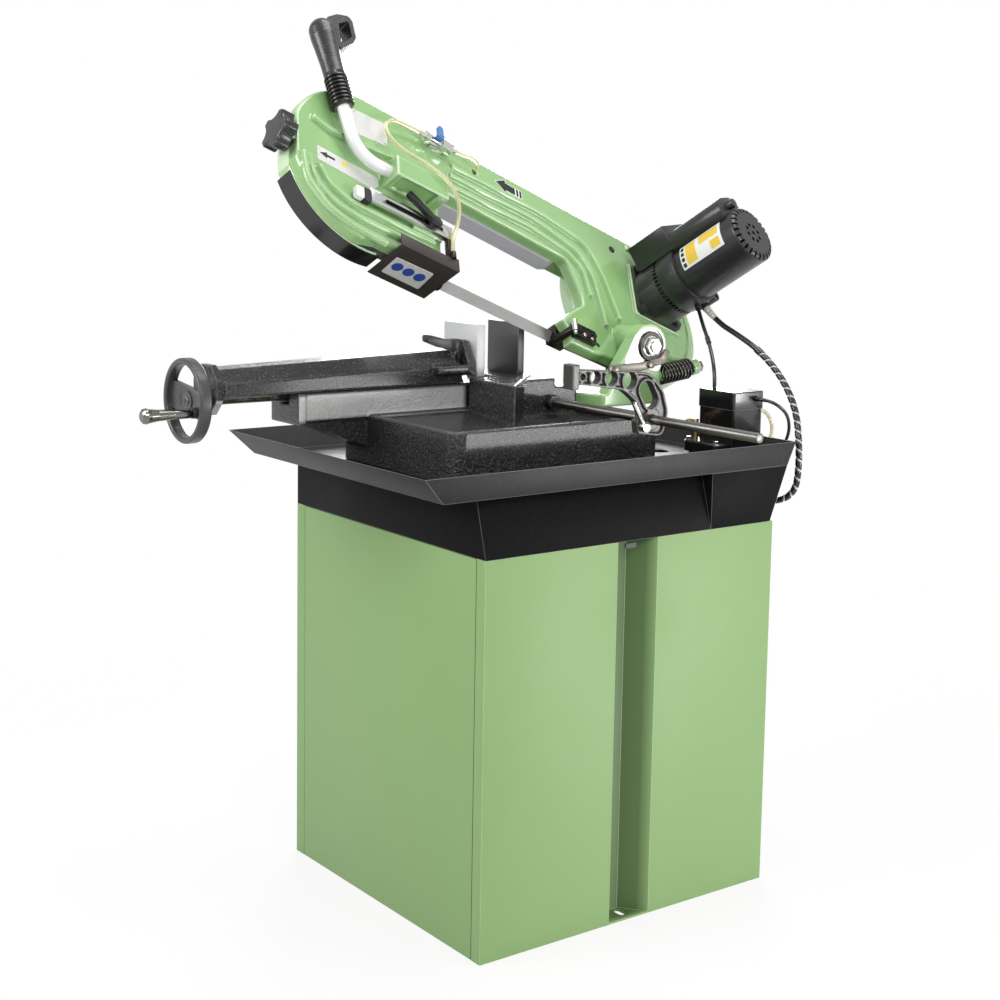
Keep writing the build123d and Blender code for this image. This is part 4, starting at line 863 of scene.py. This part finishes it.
# Light grey core that shows in the wrap's gaps: painted glints between the windings
glint_core = free_tube("main_cable_glint_core", wrap_line, core_radius * MM, glint_grey)
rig.blend(glint_core, "stand", "swivel", start=wrap_line[-1], end=wrap_line[0])
collar_axis = (wrap_line[0] - wrap_line[6]).normalized()
collar_line = [wrap_line[0] + collar_axis * d * MM for d in (6, 5, -5, -6)]
collar_mesh = tube_mesh("collar", collar_line, collar_radius * MM, round_sides)
collar = piece("main_cable_collar", collar_mesh, "swivel", rubber_black)
relief = strain_relief("main_cable_relief", sheath_line, "bow", plate_silver,
                       inner=5.6, outer=7.6, length=34)
foot_relief = strain_relief("main_cable_foot_relief", wrap_line[::-1], "stand", rubber_black,
                            inner=6.5, outer=8.8, length=34)
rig.cord(sheath, exit=sheath_line[0], length=line_length(sheath_line), diameter=10.6 * MM,
        far_end="connector", stiffness="stiff", lay="hanging", with_pieces=[collar, relief],
        path=sheath_line)
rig.cord(wrap, exit=wrap_line[0], length=line_length(wrap_line), diameter=12.4 * MM,
        far_end="object", stiffness="stiff", lay="hanging", with_pieces=[foot_relief, glint_core],
        path=wrap_line)

# Pump hose, joined half way by a small coupling
hose_radius, joint_radius = 3.5, 4.6
hose_line = cord_line(pump_hose_route, row)
middle = len(hose_line) // 2
low_hose, high_hose = hose_line[: middle + 1], hose_line[middle:]
hose_low = free_tube("pump_hose_low", low_hose, hose_radius * MM, rubber_black)
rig.blend(hose_low, "stand", "swivel", start=low_hose[0], end=low_hose[-1])
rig.replaces(hose_low, "pump_hose")
hose_high = free_tube("pump_hose_high", high_hose, hose_radius * MM, rubber_black)
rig.blend(hose_high, "swivel", "bow", start=high_hose[0], end=high_hose[-1])
joint_axis = (high_hose[1] - high_hose[0]).normalized()
joint_line = [high_hose[0] + joint_axis * d * MM for d in (-9, -3, 3, 9)]
joint_mesh = tube_mesh("joint", joint_line, joint_radius * MM, small_sides)
joint = piece("pump_hose_joint", joint_mesh, "swivel", rubber_black)
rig.cord(hose_low, exit=low_hose[0], length=line_length(low_hose), diameter=7 * MM,
        far_end="connector", stiffness="stiff", lay="hanging", with_pieces=[joint], path=low_hose)
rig.cord(hose_high, exit=high_hose[0], length=line_length(high_hose), diameter=7 * MM,
        far_end="object", stiffness="stiff", lay="hanging", path=high_hose)

# Small cords that stay with one body, and the nozzle hose that follows the guide arm
for name, line, radius, material, body, stiff in (
    ("pump_cable", cord_line(pump_cable_route, row), 3.0, rubber_black, "stand", "medium"),
    ("drain_tube", cord_line(drain_route, row), hose_radius, hose_clear, "stand", "limp"),
    ("valve_hose", cord_line(valve_route, bow), hose_radius, hose_clear, "bow", "limp"),
):
    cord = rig.ride(free_tube(name + "_line", line, radius * MM, material), body)
    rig.replaces(cord, name)
    sleeves = []
    if stiff == "medium":
        sleeves.append(strain_relief(name + "_relief", line, body, material,
                                     inner=3.3, outer=5.2, length=24))
    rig.cord(cord, exit=line[0], length=line_length(line), diameter=2 * radius * MM,
            far_end="object", stiffness=stiff, lay="hanging", with_pieces=sleeves, path=line)
nozzle_line = cord_line(nozzle_route, bow)
nozzle_hose = free_tube("nozzle_hose_line", nozzle_line, hose_radius * MM, hose_clear)
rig.blend(nozzle_hose, "bow", "guide_arm", start=nozzle_line[0], end=nozzle_line[-1])
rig.replaces(nozzle_hose, "nozzle_hose")
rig.cord(nozzle_hose, exit=nozzle_line[0], length=line_length(nozzle_line), diameter=7 * MM,
        far_end="object", stiffness="limp", lay="hanging", path=nozzle_line)

# Castings with soft corners
cast_form("bow_casting", cell=1.9, passes=4, axes=bow_frame)
table_top, kerf_depth, kerf_width, kerf_over = 902, 13.4, 5.2, 4
kerf_z = table_top + (kerf_over - kerf_depth) / 2
kerfs = [
    (row(-30, -32, kerf_z), row(kerf_width, 144, kerf_depth + kerf_over), 0),
    (row(-30, 12, kerf_z), row(170, kerf_width, kerf_depth + kerf_over), -45),
]
cast_form("base_casting", cell=2.4, passes=6, kerfs=kerfs)
cast_form("swivel_arm", cell=2.2, passes=5)
cast_form("vise_carriage", cell=2.2, passes=4)
cast_form("stop_arm", cell=1.1, passes=4)

# Sheet and machined pieces with rounded edges: radius in millimetres
# Bevel faces of these pieces take painted highlights, and the front panel's take painted seam shade
edge_highlights_and_seam_shade = {
    "plinth_frame": plinth_edge_highlight, "drip_tray": edge_highlight_grey, "pump_box": edge_highlight_grey,
    "fixed_jaw": edge_highlight_grey, "cabinet_shell": edge_highlight_green, "front_panel": seam_shade_green,
}
edge_radius = {
    "cabinet_shell": 0.8, "front_panel": 0.8, "plinth_frame": 0.9, "drip_tray": 0.7,
    "fixed_jaw": 1.2, "moving_jaw": 1.2, "hand_wheel": 0.8, "guide_bar": 0.8, "front_guide": 0.8,
    "blade_guard": 0.5, "rear_guide": 0.8, "limit_lever": 0.7, "gearbox": 1.5, "terminal_box": 3.0,
    "pump_box": 2.0, "tension_knob": 2.0, "vise_lever": 1.5, "wheel_cover": 0.8, "base_bolts": 0.8,
    "stop_lever": 0.8, "hinge_nut": 0.8, "spring_bolt": 0.8, "valve_body": 0.7, "valve_lever": 1.0,
    "guide_lever": 1.2, "stop_rod": 0.8, "pump_fitting": 0.6, "trigger": 0.8, "cable_glands": 1.0,
}
for node, radius in edge_radius.items():
    softened(node, radius, edge_highlights_and_seam_shade.get(node))

# Return spring: follows the tower at one end and the bow at the other
spring_mesh = mesh_of(node_form("return_spring"), "spring")
spring = free_piece("return_spring_form", spring_mesh, spring_steel, tube_crease)
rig.blend(spring, "swivel", "bow", start=row(39, 262, 898.5), end=row(39, 338, 907.5))
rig.replaces(spring, "return_spring")

# Strip under the beam, run on to the leg of the bow
strip_middle, strip_run = -210 * MM, 38 * MM
channel_form = node_form("blade_channel")
for vertex in channel_form.verts:
    if (bow_frame.inverted() @ vertex.co).x > strip_middle:
        vertex.co += rear_dir * strip_run
channel = piece("blade_channel_form", mesh_of(channel_form, "channel"), "bow", strip_lilac)
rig.replaces(channel, "blade_channel")


# Flat plates, turned fasteners and curved sheets
def rounded(outline, radius, steps=4):
    """Flat outline with its corners rounded."""
    out = []
    corners = [Vector(p) for p in outline]
    for k, corner in enumerate(corners):
        before, after = corners[k - 1] - corner, corners[(k + 1) % len(corners)] - corner
        first = corner + before.normalized() * min(radius, before.length / 2.1)
        last = corner + after.normalized() * min(radius, after.length / 2.1)
        for s in range(steps + 1):
            share = s / steps
            bend = corner * 2 * share * (1 - share)
            out.append(first * (1 - share) ** 2 + bend + last * share ** 2)
    return out


def block_outline(u0, v0, u1, v1, radius, steps=4):
    """Rectangle with rounded corners."""
    return rounded([(u0, v0), (u1, v0), (u1, v1), (u0, v1)], radius, steps)


def round_outline(centre, radius, steps=28):
    """Circle as a flat outline."""
    return [around(centre, radius, angle) for angle in full_turn(steps)]


def flat_into(form, outline, place, low, high, edge=0.35):
    """Flat body on an outline, with a small bevel round its top."""
    outline = [Vector(p) for p in outline]
    centre = sum(outline, Vector((0, 0))) / len(outline)
    inner = [p + (centre - p).normalized() * edge for p in outline]
    levels = ((outline, low), (outline, high - edge), (inner, high))
    rings = [[form.verts.new(place(q[0], q[1], level)) for q in ring] for ring, level in levels]
    close_rings(form, rings)


def ring_into(form, outline, centre, hole, place, low, high, edge=0.5):
    """Flat body with a round hole; its outline is met by rays from the hole's centre."""
    def reach(angle):
        aim = Vector((math.cos(angle), math.sin(angle)))
        best = 0.0
        for k, corner in enumerate(outline):
            a, b = Vector(corner) - Vector(centre), Vector(outline[k - 1]) - Vector(centre)
            run = b - a
            cross = aim.x * run.y - aim.y * run.x
            if abs(cross) > 1e-9:
                along = (a.x * run.y - a.y * run.x) / cross
                share = (a.x * aim.y - a.y * aim.x) / cross
                if along > 0 and -1e-6 <= share <= 1 + 1e-6:
                    best = max(best, along)
        return best
    turns = full_turn(ring_steps)
    reaches = [reach(angle) for angle in turns]
    outer = [(low, 0, False), (high - edge, 0, False), (high, edge, False)]
    inner = [(high, edge, True), (high - edge, 0, True), (low, 0, True)]
    rings = []
    for level, inset, inside in outer + inner:
        ring = []
        for angle, far in zip(turns, reaches):
            size = hole + inset if inside else far - inset
            ring.append(form.verts.new(place(*around(centre, size, angle), level)))
        rings.append(ring)
    close_rings(form, rings, caps=False)


def turned_into(form, origin, axis, profile, sides):
    """Closed turned body; profile is (radius, distance) in millimetres along the axis."""
    axis = Vector(axis).normalized()
    side = axis.orthogonal().normalized()
    other = axis.cross(side)
    rings = []
    for radius, distance in profile:
        centre = origin + axis * distance * MM
        ring = []
        for angle in full_turn(sides):
            spoke = side * math.cos(angle) + other * math.sin(angle)
            ring.append(form.verts.new(centre + spoke * radius * MM))
        rings.append(ring)
    close_rings(form, rings)


def curved_into(form, centre, inner, outer, turns, levels):
    """Closed sheet bent round an axis of the bow, between two angles in degrees and levels of w."""
    degrees_per_face = 3
    count = max(2, round(abs(turns[1] - turns[0]) / degrees_per_face))
    low, high = levels
    rings = []
    for k in range(count + 1):
        angle = math.radians(turns[0] + (turns[1] - turns[0]) * k / count)
        corners = ((inner, low), (outer, low), (outer, high), (inner, high))
        points = [bow(*around(centre, size, angle), level) for size, level in corners]
        rings.append([form.verts.new(point) for point in points])
    close_rings(form, rings)


def detail(name, body, material, slot, parts):
    """New piece made of several closed forms; parts are (maker, arguments)."""
    form = bmesh.new()
    for maker, *given in parts:
        maker(form, *given)
    bmesh.ops.recalc_face_normals(form, faces=form.faces)
    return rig.slot(piece(name, mesh_of(form, name), body, material), slot)


def plate(name, body, material, slot, outline, place, levels, *edge):
    """New piece with one flat body."""
    detail(name, body, material, slot, [(flat_into, outline, place, *levels, *edge)])


def on_guard(u, w, out):
    """Point on the blade guard's lower side."""
    return bow(u, -18.5 - out, w)


def on_tower(y, z, out):
    """Point on the hinge tower's face."""
    return row(54 + out, y, z)


def on_cabinet(y, z, out):
    """Point on the cabinet's right side."""
    return row(292.5 + out, y, z)


def on_tray(x, y, out):
    """Point on the tray's floor under the pump."""
    return row(x, y, 771 + out)


def dome(radius, height):
    """Profile of a low round head."""
    return [(radius, 0), (radius, height * 0.45), (radius * 0.82, height * 0.8),
            (radius * 0.4, height)]


def hex_head(size, height):
    """Profile of a hexagon head with a small bevel."""
    return [(size, 0), (size, height - 0.8), (size - 1.0, height)]


# Plates on the bow; levels are w of the bow, its face is at 40
plate_levels = (39.9, 41.0)
print_levels, print_edge = (40.8, 41.3), 0.15
rating = [(-641.8, 254.9), (-563.8, 260.0), (-564.8, 208.3), (-660, 198)]
rivet_places = ((-637, 250), (-568.5, 255), (-569.5, 212.5), (-653, 202.5))
plate("rating_plate", "bow", plate_silver, "steel", rounded(rating, 5), bow, plate_levels)
detail("rating_rivets", "bow", turned_steel, "steel", [
    (turned_into, bow(u, v, 40.9), face_dir, dome(2.0, 1.3), small_sides) for u, v in rivet_places
])
pointed = [(-718.7, 128.5), (-589.6, 123.6), (-588, 106.5), (-602.7, 92.4), (-717.7, 98.6)]
pointed_arrow = [
    (-713.2, 115.1), (-698, 121.4), (-698, 117.6), (-681.5, 116.9), (-681.5, 112.2),
    (-698, 112.9), (-698, 108.8),
]
pointed_dot = round_outline((-661, 115.5), 5.5)
plate("pointed_plate", "bow", plate_silver, "steel", rounded(pointed, 4), bow, plate_levels)
plate("pointed_plate_arrow", "bow", mark_black, "black_paint", pointed_arrow, bow, print_levels,
      print_edge)
plate("pointed_plate_dot", "bow", field_yellow, "brass", pointed_dot, bow, print_levels,
      print_edge)


# Direction arrow on the beam: white border, black head and bars
def arrow_forms(grow, low, high):
    """Arrow's head and bars, grown by a border."""
    head = [(-305 - 1.6 * grow, 267.6), (-281 + grow, 281 + 1.4 * grow),
            (-281 + grow, 252 - 1.4 * grow)]
    outlines = [head]
    for a, b in ((-281, -257), (-253.5, -248.5), (-245.5, -240.6)):
        outlines.append([(a - grow, 258 - grow), (b + grow, 257.6 - grow),
                         (b + grow, 273.4 + grow), (a - grow, 274.4 + grow)])
    return [(flat_into, outline, bow, low, high, 0.12) for outline in outlines]


detail("beam_arrow_border", "bow", plate_white, "steel", arrow_forms(1.5, 39.9, 40.5))
detail("beam_arrow", "bow", mark_black, "black_paint", arrow_forms(0, 40.3, 40.9))

# Plate with three discs under the blade guard
guard_plate = [(-546.8, 29.3), (-467.4, 31.2), (-462.4, -16.8), (-544.4, -15.8)]
plate("guard_plate", "guide_arm", plate_silver, "steel", rounded(guard_plate, 3), on_guard,
      (-0.1, 0.9))
detail("guard_discs", "guide_arm", disc_blue, "blue_plastic", [
    (flat_into, round_outline((u, 10), 10.5), on_guard, 0.8, 1.3, print_edge)
    for u in (-530, -506, -482)
])

# Motor: white plate with yellow fields and dark marks, and the drum's fins
motor_axis = (98, 173)
plate_radii, field_radii, fin_radii = (55.9, 56.6), (56.3, 56.9), (53, 60)
field_spans = (((161, 205), (180, 204)), ((161, 180), (214, 260)), ((187, 205), (238, 260)))
fin_width, fin_gap = 3.2, (96, 152)
detail("motor_plate", "bow", plate_white, "steel", [
    (curved_into, motor_axis, *plate_radii, (157, 210), (166, 266))
])
detail("motor_plate_fields", "bow", field_yellow, "brass", [
    (curved_into, motor_axis, *field_radii, turns, levels) for turns, levels in field_spans
])
detail("motor_plate_marks", "bow", mark_black, "black_paint", [
    (curved_into, motor_axis, *field_radii, (a, a + 8), (169, 176)) for a in (162, 174, 186, 198)
])
detail("drum_fins", "bow", motor_black, "motor_black", [
    (curved_into, motor_axis, *fin_radii, (a, a + fin_width), (97.5, 108.5))
    for a in range(0, 360, 8) if not fin_gap[0] < a < fin_gap[1]
])

# Guide bar's end block, clip, dark strips painted as shade on the slot's walls, and stud
end_block = block_outline(-650, 46, -634, 68, 2.0)
end_clip = block_outline(-634.2, 44, -619, 70, 2.0)
plate("bar_end_block", "guide_arm", plate_white, "steel", end_block, bow, (46, 57), 1.0)
plate("bar_end_clip", "guide_arm", plastic_black, "black_plastic", end_clip, bow, (46.5, 58), 1.0)
# Dark strips on the slot's walls, painted as shade
detail("bar_slot_shade_strips", "guide_arm", mark_black, "black_paint", [
    (flat_into, block_outline(-584, low, -465, low + 0.6, 0.1), bow, 46.4, 55.6, 0.1)
    for low in (59.2, 68.2)
])
stud_profile = [(3.5, 0), (3.5, 35), (2.8, 35.8)]
stud_form = detail("guide_stud_form", "bow", dark_steel, "dark_steel", [
    (turned_into, bow(-484, 64, 28), face_dir, stud_profile, round_sides)
])
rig.replaces(stud_form, "guide_stud")

# Dark discs painted as shade in two holes of the bow, pin and screws of the rear guide
pin_profile = [(2.6, 0), (5.2, 1.6), (5.2, 25), (3.2, 26), (3.2, 30)]
screw_profile = [(4.2, 0), (4.2, 2.6), (3.4, 3.4), (2.1, 3.4), (1.8, 1.6)]
# Dark discs standing in for the shade in two holes
detail("casting_hole_shades", "bow", mark_black, "black_paint", [
    (turned_into, bow(u, v, 39.8), face_dir,
     [(size, 0), (size, 0.5), (size - 0.6, 0.8)], round_sides)
    for u, v, size in ((-1, 253, 7.5), (-80, -8, 4.5))
])
detail("guide_pins", "bow", chrome, "chrome", [
    (turned_into, bow(-155, 8, 56), -across_dir, pin_profile, round_sides)
])
detail("guide_screws", "bow", turned_steel, "steel", [
    (turned_into, bow(u, -13, 51.8), face_dir, screw_profile, screw_sides) for u in (-127, -109)
])

# Hinge tower: machined facing with a dark ring round the shaft
shaft_place = (226.8, 954.9)
facing = rounded([
    (161.7, 925.7), (186.4, 973.7), (205, 988), (226, 991.5), (249, 984.5), (262.5, 965),
    (263.5, 946), (247, 906),
], 9)
ring_outline = round_outline(shaft_place, 27, ring_steps)
detail("tower_facing", "swivel", machined_face, "steel", [
    (ring_into, facing, shaft_place, 31.2, on_tower, -0.2, 1.6)
])
detail("tower_ring", "swivel", dark_steel, "dark_steel", [
    (ring_into, ring_outline, shaft_place, 19, on_tower, -0.2, 4.0, 1.0)
])

# Pump foot with bolts, cabinet catch, nut of the hand wheel
foot = block_outline(122, 247, 214, 345, 16, 8)
catch = block_outline(-30, 648, -6, 657, 3)
plate("pump_foot", "stand", gloss_black, "black_paint", foot, on_tray, (-0.2, 20), 3.0)
detail("pump_bolts", "stand", turned_steel, "steel", [
    (turned_into, row(x, y, 790.8), (0, 0, 1), hex_head(5.6, 5), hex_sides)
    for x, y in ((132, 257), (204, 257), (204, 335), (132, 335))
])
plate("cabinet_catch", "stand", mark_black, "black_paint", catch, on_cabinet, (-0.1, 2.2), 0.6)
vise_end = Vector((-116 * MM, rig.box("vise_screw")[0][1] + 0.2 * MM, 886 * MM))
detail("wheel_nut", "vise_spindle", dark_steel, "dark_steel", [
    (turned_into, vise_end, (0, -1, 0), hex_head(8, 6), hex_sides)
])

# Black band on the wheel cover's outer wall
detail("cover_band", "bow", gloss_black, "black_paint", [
    (curved_into, (-608, wheel_v), 157.5, 159.4, (203, 283), (-20, 14))
])


# Stage: pale floor, white surround and soft lights
def make_floor():
    """Pale floor that fades to white away from the part."""
    half_size = 14
    fade_start, fade_end, near_glow = 0.5, 1.8, 0.84
    form = bmesh.new()
    bmesh.ops.create_grid(form, x_segments=2, y_segments=2, size=half_size)
    material, net, shader = new_material("floor white")
    end = material.node_tree.nodes["Material Output"]
    shader.inputs["Base Color"].default_value = (0.86, 0.86, 0.86, 1.0)
    shader.inputs["Roughness"].default_value = 0.6
    seen = net.add("LightPath").outputs
    rays = net.math("ADD", seen["Is Camera Ray"], seen["Is Glossy Ray"], clamp=True)
    away = net.add("VectorMath", {0: net.place()}, operation="LENGTH").outputs["Value"]
    rays = net.times(rays, net.span(away, fade_start, fade_end, near_glow, 1.0))
    glow = net.add("Emission", {"Color": (1.0, 1.0, 1.0, 1.0), "Strength": 1.0})
    both = net.add("MixShader", {0: rays, 1: shader.outputs[0], 2: glow.outputs[0]})
    net.feed(end.inputs["Surface"], both.outputs[0])
    mesh = mesh_of(form, "floor")
    mesh.materials.append(material)
    floor = bpy.data.objects.new("floor", mesh)
    scene.collection.objects.link(floor)
    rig.stage(floor)


def make_world():
    """White surround, dimmer in reflections and as a light."""
    glossy_strength, light_strength = 0.75, 0.3
    world = bpy.data.worlds.new("studio")
    scene.world = world
    world.use_nodes = True
    net = Net(world.node_tree)
    back = world.node_tree.nodes["Background"]
    back.inputs["Color"].default_value = (1.0, 1.0, 1.0, 1.0)
    seen = net.add("LightPath").outputs
    rays = net.math("ADD", seen["Is Camera Ray"], seen["Is Transmission Ray"], clamp=True)
    glossy = net.times(seen["Is Glossy Ray"], glossy_strength)
    strength = net.math("MAXIMUM", net.math("MAXIMUM", rays, glossy), light_strength)
    net.feed(back.inputs["Strength"], strength)


def soft_light(name, place, aim, size, power):
    """Area light that looks at a point."""
    light = bpy.data.lights.new(name, "AREA")
    light.shape = "RECTANGLE"
    light.size, light.size_y = size
    light.energy = power
    lamp = bpy.data.objects.new(name, light)
    scene.collection.objects.link(lamp)
    lamp.location = place
    lamp.rotation_euler = (Vector(aim) - Vector(place)).to_track_quat("-Z", "Y").to_euler()


make_floor()
make_world()

# Lights: place and aim, width and height in metres, power in watts
soft_light("front soft box", (-0.6, -3.2, 2.4), (0, 0, 0.9), (2.0, 1.4), 78)
soft_light("side soft box", (3.0, -1.0, 2.6), (0, 0, 0.9), (1.4, 1.4), 44)
soft_light("rear side soft box", (2.65, 1.75, 0.5), (0.05, -0.1, 0.85), (1.2, 0.7), 46)
soft_light("rear soft box", (-2.6, 2.0, 1.7), (0, 0, 0.95), (1.6, 1.0), 46)
soft_light("top soft box", (0.2, 0.4, 3.6), (0, 0, 0.8), (1.8, 1.8), 50)

# Camera, turned, tilted and rolled as fitted
view = bpy.data.cameras.new("camera")
view.sensor_width = sensor_width
view.lens = focal_share * sensor_width
view.shift_y = picture_shift
camera = bpy.data.objects.new("camera", view)
scene.collection.objects.link(camera)
tilted = Matrix.Rotation(math.pi / 2 - camera_tilt, 4, "X") @ Matrix.Rotation(camera_roll, 4, "Z")
turned = Matrix.Rotation(camera_turn, 4, "Z") @ tilted
camera.matrix_world = Matrix.Translation(camera_place) @ turned
scene.camera = camera
scene.view_settings.view_transform = "Standard"

json.dump(
    {"cad": [list(corner) for corner in cad_box], "visual": [list(corner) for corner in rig.bounds()]},
    open("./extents.json", "w"),
)
